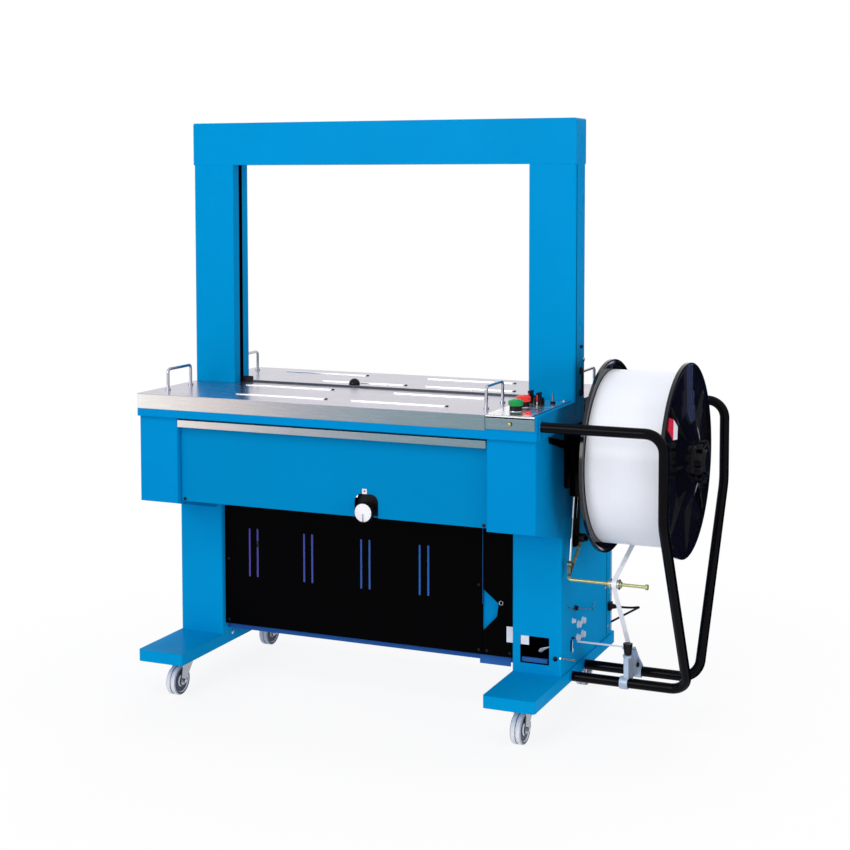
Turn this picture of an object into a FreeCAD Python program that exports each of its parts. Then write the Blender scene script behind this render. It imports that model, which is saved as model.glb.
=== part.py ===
import FreeCAD, Part
import os
from math import acos, asin, atan2, cos, hypot, pi, radians, sin, tan

# Automatic arch strapping machine with a side strap dispenser.
# Millimetres; X runs along the table (strap reel on +X), Y away from the operator, Z up from the floor.

os.makedirs("parts", exist_ok=True)
V = FreeCAD.Vector

# ---------------------------------------------------------------- driving sizes
ARCH_OPEN_W = 850.0        # clear width of the arch
ARCH_OPEN_H = 590.0        # clear height of the arch above the table
COLUMN_W = 123.0           # width of one arch column
ARCH_DEPTH = 76.0          # depth of the arch box section
BEAM_H = 113.0             # height of the arch cross beam
TABLE_Z = 806.0            # working height
TABLE_FRONT = -325.0       # front edge of the table
TABLE_REAR = 300.0         # rear edge of the table
SKIRT_H = 37.7             # turned-down edge of the table lids
COLLAR_H = 20.0            # blue collar under the lids
BODY_STEP = 8.0            # body faces set back from the collar at front and rear
SIDE_STEP = 4.0            # body faces set back from the collar at the ends
BODY_H = 280.0             # table top down to the underside of the upper body
GUSSET_H = 46.0            # how far the sloping gussets run down in front of the legs
LEG_FRONT = -128.0         # front face of the legs
LEG_W = 128.0              # width of a leg
FOOT_TOP = 135.0
FOOT_H = 30.0
FOOT_FRONT = -331.0
FOOT_REAR = 313.0
SHEET = 2.5                # steel sheet
LID_T = 2.0                # stainless sheet
GAP = 0.3                  # clearance between bodies that move
PANEL_W = 128.0            # control panel width
END_L = 112.0              # width of the left end cabinet
REEL_R = 240.0             # reel flange
COIL_R = 215.0             # strap coil on the reel
CORE_R = 100.0             # reel core
REEL_DROP = 135.0          # reel axis below the table top
REEL_GAP = 76.0            # from the end of the table to the inner flange
REEL_W = 201.0             # over both flanges
ARBOR_R = 15.0
RUN_FIT = 0.08             # radial play of the reel on its arbor
SLEEVE_R = 24.0            # threaded sleeve of the outer flange, for the hand nut
TUBE_R = 12.5              # guard tube
GUARD_OUT = 21.0           # upright part of the guard beyond the outer flange
GUARD_Y = 300.0            # top runs of the guard
GUARD_LOW_Y = 52.0         # bottom runs of the guard, from the guard's centre
GUARD_DROP = 26.0          # top runs of the guard below the table top
WHEEL_R = 37.5             # caster wheel
CASTER_TRAIL = 25.0
CASTER_Y = (-222.0, 268.0)
CORD_R = 3.0
STRAP_W = 12.0             # plastic strap
STRAP_T = 1.0

HALF = ARCH_OPEN_W / 2 + COLUMN_W
BODY_X = HALF - SIDE_STEP
BODY_FRONT = TABLE_FRONT + BODY_STEP
BODY_REAR = TABLE_REAR - BODY_STEP
COLLAR_TOP = TABLE_Z - SKIRT_H - GAP
COLLAR_BOT = COLLAR_TOP - COLLAR_H
ARCH_Z = TABLE_Z + ARCH_OPEN_H
ARCH_TOP = ARCH_Z + BEAM_H
HA = ARCH_DEPTH / 2
FOOT_BOT = FOOT_TOP - FOOT_H
BODY_BOTTOM = TABLE_Z - BODY_H
GUSSET_Z = BODY_BOTTOM - GUSSET_H
LEG_IN = BODY_X - LEG_W
DOOR_L = -BODY_X + END_L
DOOR_R = HALF - PANEL_W
REEL_Z = TABLE_Z - REEL_DROP
REEL_X0 = HALF + REEL_GAP
REEL_X1 = REEL_X0 + REEL_W
GUARD_X = REEL_X1 + GUARD_OUT
GUARD_Z = TABLE_Z - GUARD_DROP
NUT_X1 = REEL_X1 + 50
# everything is written about the middle of the footprint
ORIGIN = V(-(NUT_X1 - HALF) / 2, -(FOOT_FRONT + FOOT_REAR) / 2, 0)


# ---------------------------------------------------------------- helpers
def save(node, *shapes):
    shape = shapes[0] if len(shapes) == 1 else Part.makeCompound(list(shapes))
    shape = shape.copy()
    shape.translate(ORIGIN)
    shape.exportStep("parts/" + node + ".step")


def box(x0, x1, y0, y1, z0, z1):
    return Part.makeBox(x1 - x0, y1 - y0, z1 - z0, V(x0, y0, z0))


def cyl(x, y, z, axis, r, length):
    d = {"x": V(1, 0, 0), "y": V(0, 1, 0), "z": V(0, 0, 1)}[axis]
    return Part.makeCylinder(r, length, V(x, y, z), d)


def ring(x, y, z, axis, r, r_in, length):
    return cyl(x, y, z, axis, r, length).cut(cyl(x, y, z, axis, r_in, length))


def fuse(first, *others):
    return first.multiFuse(list(others)).removeSplitter() if others else first


def cut(shape, *tools):
    for tool in tools:
        shape = shape.cut(tool)
    return shape


def loop(points, plane, at):
    # closed outline; plane names the axis it faces along
    put = {"x": lambda a, b: V(at, a, b), "y": lambda a, b: V(a, at, b), "z": lambda a, b: V(a, b, at)}[plane]
    pts = [put(a, b) for a, b in points]
    return Part.makePolygon(pts + pts[:1])


def prism(points, plane, at, depth):
    d = {"x": V(depth, 0, 0), "y": V(0, depth, 0), "z": V(0, 0, depth)}[plane]
    return Part.Face(loop(points, plane, at)).extrude(d)


def rounded(a0, a1, b0, b1, r, plane, at, depth, corners=(1, 1, 1, 1)):
    # rectangle with rounded corners (order: a0b0, a1b0, a1b1, a0b1), extruded along the plane's axis
    pts = []
    for (a, b, sa, sb, start), on in zip(((a0, b0, 1, 1, 180), (a1, b0, -1, 1, 270),
                                          (a1, b1, -1, -1, 0), (a0, b1, 1, -1, 90)), corners):
        pts.append((a + sa * r, b + sb * r, start, on, a, b))
    put = {"x": lambda a, b: V(at, a, b), "y": lambda a, b: V(a, at, b), "z": lambda a, b: V(a, b, at)}[plane]
    edges, ends = [], []
    for ca, cb, start, on, a, b in pts:
        if on:
            arc = [put(ca + r * cos(radians(start + t)), cb + r * sin(radians(start + t))) for t in (0, 45, 90)]
            ends.append((arc[0], arc[2], arc))
        else:
            ends.append((put(a, b), put(a, b), None))
    for i, (p, q, arc) in enumerate(ends):
        if arc:
            edges.append(Part.Arc(*arc).toShape())
        nxt = ends[(i + 1) % 4][0]
        if (nxt - q).Length > 1e-6:
            edges.append(Part.LineSegment(q, nxt).toShape())
    d = {"x": V(depth, 0, 0), "y": V(0, depth, 0), "z": V(0, 0, depth)}[plane]
    return Part.Face(Part.Wire(edges)).extrude(d)


def route(points, radius=None):
    # straight runs joined by tangent arcs; without a radius each arc takes 0.45 of its shorter run
    pts = [V(*p) for p in points]
    edges, at, radii = [], pts[0], []
    for a, b, c in zip(pts, pts[1:], pts[2:]):
        u, w = (a - b), (c - b)
        run = min(u.Length, w.Length)
        u.normalize()
        w.normalize()
        half = (pi - acos(max(-1, min(1, u.dot(w))))) / 2
        r = 0.45 * run / tan(half) if radius is None else radius
        t = r * tan(half)
        p, q = b + u * t, b + w * t
        m = u + w
        m.normalize()
        centre = b + m * (r / cos(half))
        mid = centre - m * r
        edges += [Part.LineSegment(at, p).toShape(), Part.Arc(p, mid, q).toShape()]
        at = q
        radii.append(r)
    edges.append(Part.LineSegment(at, pts[-1]).toShape())
    return Part.Wire(edges), radii


def sweep(wire, start, direction, r):
    return wire.makePipe(Part.Face(Part.Wire(Part.makeCircle(r, V(*start), V(*direction)))))


def rod(points, r, radius):
    wire, _ = route(points, radius)
    d = V(*points[1]) - V(*points[0])
    return sweep(wire, points[0], d, r)


def revolve_x(points, x0, y0, z0):
    # points are (distance along X from x0, radius)
    pts = [V(x0 + a, y0, z0 + r) for a, r in points]
    face = Part.Face(Part.makePolygon(pts + pts[:1]))
    return face.revolve(V(x0, y0, z0), V(1, 0, 0), 360)


def around_x(shape, n, y0, z0):
    out = []
    for i in range(n):
        s = shape.copy()
        s.rotate(V(0, y0, z0), V(1, 0, 0), 360.0 * i / n)
        out.append(s)
    return out


def mirror_x(shape):
    return shape.mirror(V(0, 0, 0), V(1, 0, 0))


# ---------------------------------------------------------------- undercarriage
def foot():
    # folded channel, open below, with a welded pad over each caster
    x0, x1 = LEG_IN, HALF
    s = rounded(x0, x1, FOOT_FRONT, FOOT_REAR, 8, "z", FOOT_BOT, FOOT_H)
    s = s.cut(rounded(x0 + 3, x1 - 3, FOOT_FRONT + 3, FOOT_REAR - 3, 5, "z", FOOT_BOT, FOOT_H - 3))
    pads = [box(x0 + 3, x1 - 3, y - 42, y + 42, FOOT_BOT, FOOT_BOT + 6) for y in CASTER_Y]
    return fuse(s, *pads)


def leg_tube():
    x0, x1 = LEG_IN, BODY_X
    s = rounded(x0, x1, LEG_FRONT, BODY_REAR, 5, "z", FOOT_TOP, BODY_BOTTOM - FOOT_TOP)
    s = s.cut(rounded(x0 + SHEET, x1 - SHEET, LEG_FRONT + SHEET, BODY_REAR - SHEET, 3, "z",
                      FOOT_TOP - 1, BODY_BOTTOM - FOOT_TOP + 2))
    return s


# window in the right leg, x0 x1 z0 z1
WIN = (LEG_IN + 21, LEG_IN + 97, FOOT_TOP + 25, FOOT_TOP + 94)
SLOT_Y, SLOT_Z = -37.0, FOOT_TOP + 67  # strap inlet in the side of the right leg
STRAP_IN_Z = SLOT_Z - 1                # underside of the strap that runs in there


def right_leg():
    s = leg_tube()
    window = rounded(WIN[0], WIN[1], WIN[2], WIN[3], 3, "y", LEG_FRONT - 1, SHEET + 2)
    inlet = box(BODY_X - SHEET - 1, BODY_X + 1, SLOT_Y - 9, SLOT_Y + 9, SLOT_Z - 12, SLOT_Z + 10)
    s = cut(s, window, inlet)
    # strap rest under the inlet, welded to the side
    top = STRAP_IN_Z - GAP
    angle = fuse(box(BODY_X, BODY_X + 14, SLOT_Y - 12, SLOT_Y - 8, SLOT_Z - 16, SLOT_Z + 6),
                 box(BODY_X, BODY_X + 14, SLOT_Y - 9, SLOT_Y + 8, top - 2, top))
    return fuse(s, angle)


def rail(y, shelf_depth):
    # folded cross member between the legs, with a shelf behind its front edge
    z = FOOT_TOP + 12
    web = box(-LEG_IN, LEG_IN, y, y + 3, z, z + 20)
    shelf = box(-LEG_IN, LEG_IN, y + 3, y + shelf_depth, z + 17, z + 20)
    return fuse(web, shelf)


COVER_Y = LEG_FRONT + 16
COVER_D = 14.0
COVER_Z0, COVER_Z1 = FOOT_TOP + 28, BODY_BOTTOM - 4
COVER_SPLIT = LEG_IN - 86
SLOT_X = [76 - LEG_IN + d for d in (0, 164, 331, 497)]
SLOT_LOW, SLOT_HIGH = COVER_Z0 + 132, COVER_Z1 - 94


def pan(x0, x1, y, z0, z1, t, flange):
    # tray-shaped sheet cover facing the front
    s = box(x0, x1, y, y + flange, z0, z1)
    return s.cut(box(x0 + t, x1 - t, y + t, y + flange + 1, z0 + t, z1 - t))


def slotted_cover():
    s = pan(-LEG_IN + 0.3, COVER_SPLIT, COVER_Y, COVER_Z0, COVER_Z1, 1.5, COVER_D)
    for x in SLOT_X:
        for dx in (0, 24):
            s = s.cut(rounded(x + dx - 3.5, x + dx + 3.5, SLOT_LOW, SLOT_HIGH, 3.4, "y", COVER_Y - 1, 4))
    return s


def end_cover():
    s = pan(COVER_SPLIT + 1.2, LEG_IN - 0.3, COVER_Y, COVER_Z0, COVER_Z1, 1.5, COVER_D)
    x, z = COVER_SPLIT, COVER_Z0
    notch = prism([(x, z + 169), (x + 43, z + 134), (x + 39, z + 101), (x, z + 59)], "y", COVER_Y - 1, 20)
    s = s.cut(notch)
    catch = ring(x + 51, COVER_Y - 2.5, z + 137, "y", 6.5, 3.2, 2.5)
    return fuse(s, catch)


POOL_Y0, POOL_Y1 = COVER_Y + 24, COVER_Y + 118


def pool_box():
    # slack-strap box: narrow upright box, open at the top, on the lower rails
    z0, z1 = FOOT_TOP + 32, BODY_BOTTOM - 56
    x0, x1 = -LEG_IN + 6, LEG_IN - 6
    s = box(x0, x1, POOL_Y0, POOL_Y1, z0, z1).cut(box(x0 + 2, x1 - 2, POOL_Y0 + 2, POOL_Y1 - 2, z0 + 2, z1 + 1))
    ribs = [box(x, x + 6, POOL_Y0 - 4, POOL_Y0, z0 + 30, z1 - 30) for x in (-250, 0, 250)]
    feet = [box(x, x + 30, POOL_Y0 - 10, POOL_Y0, z0, z0 + 3) for x in (36 - LEG_IN, -15, LEG_IN - 66)]
    return fuse(s, *(ribs + feet))


# ---------------------------------------------------------------- upper body
def end_cabinet(x0, x1):
    # sheet box of one end, with the sloping gusset that runs down to the leg
    h = COLLAR_TOP - 3 - BODY_BOTTOM
    s = rounded(x0, x1, BODY_FRONT, BODY_REAR, 4, "z", BODY_BOTTOM, h)
    s = s.cut(box(x0 + SHEET, x1 - SHEET, BODY_FRONT + SHEET, BODY_REAR - SHEET, BODY_BOTTOM - 1, COLLAR_TOP))
    out = [(BODY_FRONT, BODY_BOTTOM), (LEG_FRONT, BODY_BOTTOM), (LEG_FRONT, GUSSET_Z)]
    wedge = prism(out, "x", x0, x1 - x0)
    inner = [(BODY_FRONT + 16, BODY_BOTTOM + 1), (LEG_FRONT + 1, BODY_BOTTOM + 1), (LEG_FRONT + 1, GUSSET_Z + 3)]
    wedge = wedge.cut(prism(inner, "x", x0 + SHEET, x1 - x0 - 2 * SHEET))
    return fuse(s, wedge)


HINGE_Y, HINGE_Z = BODY_FRONT + 25, BODY_BOTTOM + 10      # door hinge line
DIAL_X, DIAL_Z = 98.0, BODY_BOTTOM + 19


def pin_hole(x0, x1):
    return cyl(x0, HINGE_Y, HINGE_Z, "x", 4 + GAP, x1 - x0)


def body_left():
    s = end_cabinet(-BODY_X, DOOR_L)
    return s.cut(pin_hole(DOOR_L - SHEET - 1, DOOR_L + 1))


def body_right():
    s = end_cabinet(DOOR_R, BODY_X)
    return s.cut(pin_hole(DOOR_R - 1, DOOR_R + SHEET + 1))


def body_pan():
    # floor and rear wall between the end cabinets, with the chute hole over the slack-strap box
    x0, x1 = DOOR_L, DOOR_R
    floor = box(x0, x1, BODY_FRONT + 40, BODY_REAR, BODY_BOTTOM, BODY_BOTTOM + SHEET)
    floor = floor.cut(box(-300, 300, POOL_Y0 + 6, POOL_Y1 - 6, BODY_BOTTOM - 1, BODY_BOTTOM + SHEET + 1))
    rear = box(x0, x1, BODY_REAR - SHEET, BODY_REAR, BODY_BOTTOM + SHEET, COLLAR_TOP - 3)
    vents = [rounded(x - 60, x + 60, z - 4, z + 4, 3.9, "y", BODY_REAR - SHEET - 1, SHEET + 2)
             for x in (-250, 250) for z in (BODY_BOTTOM + 94, BODY_BOTTOM + 114, BODY_BOTTOM + 134)]
    # plate behind the door that carries the tension dial
    plate = rounded(DIAL_X - 34, DIAL_X + 34, BODY_BOTTOM + SHEET, DIAL_Z + 55, 12, "y", BODY_FRONT + 40, 3,
                    (0, 0, 1, 1))
    plate = plate.cut(cyl(DIAL_X, BODY_FRONT + 39, DIAL_Z, "y", 5 + 0.05, 5))
    return fuse(floor, cut(rear, *vents), plate)


def top_collar():
    # collar frame under the lids; its end decks carry the arch
    s = rounded(-HALF, HALF, TABLE_FRONT, TABLE_REAR, 6, "z", COLLAR_BOT, COLLAR_TOP - COLLAR_BOT)
    s = s.cut(box(-HALF + 3, HALF - 3, TABLE_FRONT + 3, TABLE_REAR - 3, COLLAR_BOT - 1, COLLAR_TOP - 3))
    return s.cut(box(-HALF + COLUMN_W, HALF - PANEL_W, TABLE_FRONT + 3, TABLE_REAR - 3, COLLAR_TOP - 4, COLLAR_TOP + 1))


# ---------------------------------------------------------------- arch
TRACK_W, TRACK_D = 18.0, 16.0
CHUTE_Z = TABLE_Z - 34                 # strap chutes under the table


def column():
    # right column: folded box with rounded outer edges and a slot for the strap track
    h = ARCH_Z - COLLAR_TOP
    x0, x1 = HALF - COLUMN_W, HALF
    s = rounded(x0, x1, -HA, HA, 8, "z", COLLAR_TOP, h, (0, 1, 1, 0))
    s = s.cut(rounded(x0 + 2, x1 - 2, -HA + 2, HA - 2, 6, "z", COLLAR_TOP - 1, h + 2, (0, 1, 1, 0)))
    return s.cut(box(x0 - 1, x0 + 3, -TRACK_W / 2, TRACK_W / 2, COLLAR_TOP - 1, ARCH_Z + 1))


def arch_beam():
    s = rounded(-HALF, HALF, ARCH_Z, ARCH_TOP, 5, "y", -HA, ARCH_DEPTH, (0, 0, 1, 1))
    s = s.cut(rounded(-HALF + 2, HALF - 2, ARCH_Z + 2, ARCH_TOP - 2, 3, "y", -HA + 2, ARCH_DEPTH - 4, (0, 0, 1, 1)))
    w = HALF - COLUMN_W + TRACK_D
    return s.cut(box(-w, w, -TRACK_W / 2, TRACK_W / 2, ARCH_Z - 1, ARCH_Z + 3))


def channel(x0, x1, z0, z1, side):
    # U-shaped strap track; side names the wall it backs onto
    s = box(x0, x1, -TRACK_W / 2, TRACK_W / 2, z0, z1)
    g = 6.0
    tool = {"x+": (x0 - 1, x1 - 4, z0 - 1, z1 + 1), "x-": (x0 + 4, x1 + 1, z0 - 1, z1 + 1),
            "z+": (x0 - 1, x1 + 1, z0 - 1, z1 - 4), "z-": (x0 - 1, x1 + 1, z0 + 4, z1 + 1)}[side]
    return s.cut(box(tool[0], tool[1], -g, g, tool[2], tool[3]))


def strap_track():
    x = HALF - COLUMN_W
    low = COLLAR_TOP + 4
    right = channel(x, x + TRACK_D, low, ARCH_Z, "x+")
    left = channel(-x - TRACK_D, -x, low, ARCH_Z, "x-")
    top = channel(-x - TRACK_D, x + TRACK_D, ARCH_Z, ARCH_Z + TRACK_D, "z+")
    chutes = [channel(a, b, CHUTE_Z, CHUTE_Z + TRACK_D, "z-") for a, b in ((-x, -72), (72, x))]
    return [right, left, top] + chutes


# ---------------------------------------------------------------- table
RIBS_FRONT = ((-372, -112, -70), (64, 322, -70), (-305, -47, -235), (23, 283, -235))
RIBS_REAR = ((-222, 28, 85), (86, 339, 85), (-416, -158, 235), (26, 284, 235))
BALL = (-105.0, 48.0)
MID_GAP = 4.0
NOTCH = 1.5


def rib(x0, x1, y):
    return rounded(x0, x1, y - 5, y + 5, 4.9, "z", TABLE_Z - LID_T / 2, LID_T / 2 + 1.5)


def lid(x0, x1, y0, y1, z_in, corners, ribs):
    z0 = TABLE_Z - SKIRT_H
    s = rounded(x0, x1, y0, y1, 6, "z", z0, SKIRT_H, corners)
    s = s.cut(box(x0 + LID_T, x1 - LID_T, y0 + LID_T, y1 - LID_T, z0 - 1, TABLE_Z - LID_T))
    # the edge beside the strap gap is only turned down a little
    if z_in > 0:
        s = s.cut(box(x0 + LID_T, x1 - LID_T, y1 - LID_T - 1, y1 + 1, z0 - 1, TABLE_Z - 15))
    else:
        s = s.cut(box(x0 + LID_T, x1 - LID_T, y0 - 1, y0 + LID_T + 1, z0 - 1, TABLE_Z - 15))
    return fuse(s, *[rib(*r) for r in ribs])


def front_table():
    s = lid(-HALF, DOOR_R - 0.5, TABLE_FRONT, -MID_GAP, 1, (1, 0, 0, 0), RIBS_FRONT)
    edge = -HALF + COLUMN_W + NOTCH
    s = s.cut(box(-HALF - 1, edge, -HA - NOTCH, 1, COLLAR_BOT, TABLE_Z + 5))
    # notch that lets the right skirt pass over the strap chute
    return s.cut(box(DOOR_R - 4, DOOR_R, -TRACK_W / 2 - NOTCH, 1, COLLAR_BOT, CHUTE_Z + TRACK_D + NOTCH))


def rear_table():
    s = lid(-HALF, HALF, MID_GAP, TABLE_REAR, -1, (0, 0, 1, 1), RIBS_REAR)
    edge = HALF - COLUMN_W - NOTCH
    for a, b in ((-HALF - 1, -edge), (edge, HALF + 1)):
        s = s.cut(box(a, b, -1, HA + NOTCH, COLLAR_BOT, TABLE_Z + 5))
    return s.cut(cyl(BALL[0], BALL[1], COLLAR_BOT, "z", 15 + GAP, 200))


def handle(x, y0, y1):
    # U-shaped wire handle with a flange nut at each foot
    z, top = TABLE_Z, TABLE_Z + 54
    s = rod([(x, y0, z), (x, y0, top), (x, y1, top), (x, y1, z)], 4, 9)
    return fuse(s, cyl(x, y0, z, "z", 7, 4), cyl(x, y1, z, "z", 7, 4))


def ball_switch():
    x, y = BALL
    dome = Part.makeSphere(15, V(x, y, TABLE_Z + 2)).common(box(x - 20, x + 20, y - 20, y + 20, TABLE_Z + 2, TABLE_Z + 30))
    return fuse(dome, cyl(x, y, TABLE_Z - LID_T - GAP - 2, "z", 15, 4 + LID_T + GAP),
                cyl(x, y, TABLE_Z - LID_T - GAP - 2, "z", 20, 2), cyl(x, y, TABLE_Z - 22, "z", 6, 20))


# ---------------------------------------------------------------- door and dial
def front_door():
    x0, x1 = DOOR_L + 1.5, DOOR_R - 1.5
    y = BODY_FRONT + 17
    z0, z1 = BODY_BOTTOM + 4, COLLAR_BOT - 3
    s = pan(x0, x1, y, z0, z1, 1.5, 14)
    hole = rounded(DIAL_X - 32, DIAL_X + 32, z0 - 10, DIAL_Z + 43, 20, "y", y - 1, 20, (0, 0, 1, 1))
    s = s.cut(hole)
    for a, d in ((x0, -1), (x1, 1)):
        lug = box(min(a, a - 8 * d), max(a, a - 8 * d), y + 1, HINGE_Y + 5, z0, HINGE_Z + 6)
        pin = cyl(min(a - 8 * d, a + 5 * d), HINGE_Y, HINGE_Z, "x", 4, 13)
        s = fuse(s, lug, pin)
    return s


STRIP_Z = COLLAR_BOT - 15


def door_strip():
    # pull rail: hollow lip along the top of the door, open below for the fingers
    x0, x1 = DOOR_L + 1.5, DOOR_R - 1.5
    y0, y1 = BODY_FRONT, BODY_FRONT + 17
    z0, z1 = STRIP_Z - 9, STRIP_Z + 9
    section = [(y0, z0), (y0 + 1.5, z0), (y0 + 1.5, z1 - 1.5), (y1 - 1.5, z1 - 1.5), (y1 - 1.5, z0 + 2), (y1, z0 + 2),
               (y1, z1), (y0, z1)]
    return prism(section, "x", x0, x1 - x0)


def tension_dial():
    y0 = BODY_FRONT - 2
    s = cyl(DIAL_X, y0, DIAL_Z, "y", 25, 16)
    s = fuse(s, cyl(DIAL_X, y0 + 16, DIAL_Z, "y", 5, 30), cyl(DIAL_X, y0 + 45.3, DIAL_Z, "y", 8, 3))
    grips = [cyl(DIAL_X + 26.5 * cos(a), y0 - 1, DIAL_Z + 26.5 * sin(a), "y", 4, 18)
             for a in (radians(20 * i) for i in range(18))]
    pointer = box(DIAL_X - 1.5, DIAL_X + 1.5, y0 - 1, y0, DIAL_Z - 22, DIAL_Z - 4)
    return fuse(cut(s, *grips), pointer)


# ---------------------------------------------------------------- control panel
GREEN, RED = (HALF - 78, TABLE_FRONT + 73), (HALF - 86, TABLE_FRONT + 147)
SEL_A, SEL_B, TOGGLE = (HALF - 66, TABLE_FRONT + 203), (HALF - 98, TABLE_FRONT + 233), (HALF - 36, TABLE_FRONT + 221)


def control_panel():
    x0, x1 = DOOR_R + 0.5, HALF
    y1 = -HA
    z0 = COLLAR_TOP
    s = rounded(x0, x1, TABLE_FRONT, y1, 5, "z", z0, TABLE_Z - z0, (0, 1, 0, 0))
    s = s.cut(box(x0 + 2, x1 - 2, TABLE_FRONT + 2, y1 - 2, z0 - 1, TABLE_Z - 2))
    return s


def control_collars():
    out = [ring(x, y, TABLE_Z, "z", 15, 11 + GAP, 15) for x, y in (GREEN, RED)]
    out += [ring(x, y, TABLE_Z, "z", 14, 8 + GAP, 10) for x, y in (SEL_A, SEL_B)]
    out.append(ring(TOGGLE[0], TOGGLE[1], TABLE_Z, "z", 6.5, 3.7, 7))
    return out + [cyl(HALF - 64, TABLE_FRONT - 4, TABLE_Z - 19, "y", 5, 4)]


def push_button(x, y):
    z = TABLE_Z
    cap = cyl(x, y, z + 19.5, "z", 18, 6)
    dome = Part.makeSphere(32, V(x, y, z + 25.5 - 26.46)).common(cyl(x, y, z + 25.5, "z", 18, 10))
    return fuse(cap, dome, cyl(x, y, z + 5, "z", 11, 15))


def selector(x, y):
    z = TABLE_Z
    base = cyl(x, y, z + 10 + GAP, "z", 13, 7)
    grip = rounded(x - 4, x + 4, y - 13, y + 13, 3, "z", z + 16, 14)
    return fuse(base, grip, cyl(x, y, z + 1, "z", 8, 10))


def toggle_lever():
    x, y = TOGGLE
    z = TABLE_Z + 3.5
    return fuse(Part.makeSphere(3.3, V(x, y, z)), Part.makeCone(1.6, 2.6, 24, V(x, y, z)))


# ---------------------------------------------------------------- strapping head
CAM_Y, CAM_Z = 10.0, TABLE_Z - 151


def head_base():
    b = BODY_BOTTOM + SHEET
    base = box(-80, 80, -45, 130, b, b + 12).cut(box(-50, 50, 20, 90, b - 1, b + 13))
    top = TABLE_Z - 31
    side = prism([(-40, b + 12), (95, b + 12), (70, top - 75), (30, top), (-30, top), (-40, top - 75)], "x", -70, 10)
    side = fuse(side, cyl(-76, CAM_Y, CAM_Z, "x", 26, 22))
    side = side.cut(cyl(-90, CAM_Y, CAM_Z, "x", 10 + 0.05, 60))
    other = mirror_x(side)
    bridge = box(-60, 60, -28, 28, top - 30, top)
    slides = [box(x - 9, x + 9, -16, 16, top, TABLE_Z - 20) for x in (-38, 0, 38)]
    anvil = box(-58, 58, -MID_GAP + 0.7, MID_GAP - 0.7, TABLE_Z - 20, TABLE_Z - 1)
    return fuse(base, side, other, bridge, anvil, *slides)


def cam_shaft():
    s = cyl(-84, CAM_Y, CAM_Z, "x", 10, 168)
    for i, (x, ecc, r) in enumerate(((-44, 9, 34), (-24, 6, 38), (-4, 10, 32), (16, 7, 36), (36, 8, 34))):
        a = radians(72 * i)
        s = fuse(s, cyl(x, CAM_Y + ecc * cos(a), CAM_Z + ecc * sin(a), "x", r, 9))
    return fuse(s, cyl(-54 + 2, CAM_Y, CAM_Z, "x", 16, 100))


def drive_motor():
    # gear motor on the end of the cam shaft, with a cooling-fin barrel and a terminal box
    y, z = CAM_Y, CAM_Z
    gear = rounded(y - 48, y + 48, z - 55, z + 48, 12, "x", 90, 60)
    gear = gear.cut(cyl(80, y, z, "x", 12, 20))
    flange = ring(80, y, z, "x", 34, 12, 10)
    barrel = cyl(150, y, z, "x", 44, 150)
    fins = [box(158, 280, y - 49, y + 49, z - 1.5, z + 1.5)]
    rings = around_x(fins[0], 10, y, z)[:5]
    cowl = fuse(cyl(285, y, z, "x", 50, 30))
    cowl = cut(cowl, *[cyl(312, y + 30 * cos(a), z + 30 * sin(a), "x", 5, 5) for a in
                       (radians(60 * i) for i in range(6))])
    term = box(190, 250, y - 28, y + 28, z + 40, z + 72)
    foot = box(95, 145, y - 60, y + 60, BODY_BOTTOM + SHEET, BODY_BOTTOM + SHEET + 8)
    post = box(100, 140, y - 40, y + 40, BODY_BOTTOM + SHEET + 8, z - 50)
    return fuse(gear, flange, barrel, cowl, term, foot, post, *rings)


# ---------------------------------------------------------------- strap dispenser
DRUM_R = 52.0                  # brake drum of the reel
LEVER_Y, LEVER_Z = -DRUM_R - 37, REEL_Z + 51
LEVER_LOW = REEL_Z - 91        # lower end of the brake lever
DANCER_Y, DANCER_Z = -24.0, REEL_Z - 208
ROD_Y, ROD_Z = -135.0, REEL_Z - 288
ROD_END = REEL_X0 + 141        # free end of the dancer rod
ROLLER_X = REEL_X0 + 59
ROLLER_R = 10.5                # bottom of the roller groove
SPRING_Y, SPRING_Z = -118.0, ROD_Z + 42


def reel_bracket():
    x = BODY_X
    z = REEL_Z
    plate = rounded(LEVER_Y - 23, 60, z - 71, z + 74, 10, "x", x, 8)
    strut = prism([(-232, z + 75), (-225, z + 59), (-80, z + 19), (-80, z + 41)], "x", x, 8)
    boss = Part.makeCone(34, 22, 52, V(x + 8, 0, REEL_Z), V(1, 0, 0))
    arbor = cyl(x + 60, 0, REEL_Z, "x", ARBOR_R, REEL_X1 + 22 - x - 60)
    pin = fuse(cyl(x + 8, LEVER_Y, LEVER_Z, "x", 5, 24), cyl(x + 31, LEVER_Y, LEVER_Z, "x", 8, 3))
    # lower ear that carries the dancer arm
    ear = fuse(rounded(DANCER_Y - 20, DANCER_Y + 20, DANCER_Z - 23, z - 31, 10, "x", x, 6),
               cyl(x + 6, DANCER_Y, DANCER_Z, "x", 5, 25), cyl(x + 30, DANCER_Y, DANCER_Z, "x", 8, 3))
    return fuse(plate, strut, boss, arbor, pin, ear)


def brake_lever():
    x = BODY_X + 8 + 4
    bar = rounded(LEVER_Y - 13, LEVER_Y + 13, LEVER_LOW, LEVER_Z + 14, 10, "x", x, 14)
    bar = bar.cut(cyl(x - 1, LEVER_Y, LEVER_Z, "x", 5 + 0.1, 20))
    shoe = box(x + 2, x + 12, LEVER_Y + 13, -DRUM_R - 1, REEL_Z - 16, REEL_Z + 19)
    return fuse(bar, shoe)


def brake_spring():
    # closed clevis body and pull rod between the brake lever and the dancer arm
    x = BODY_X + 19
    a, b = V(x, LEVER_Y + 2, LEVER_LOW - 2.1), V(x, SPRING_Y, SPRING_Z)
    d = b - a
    u = V(d)
    u.normalize()
    body = Part.makeCylinder(9, 52, a, u)
    thin = Part.makeCylinder(3.5, d.Length - 52, a + u * 52, u)
    return fuse(body, thin)


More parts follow.
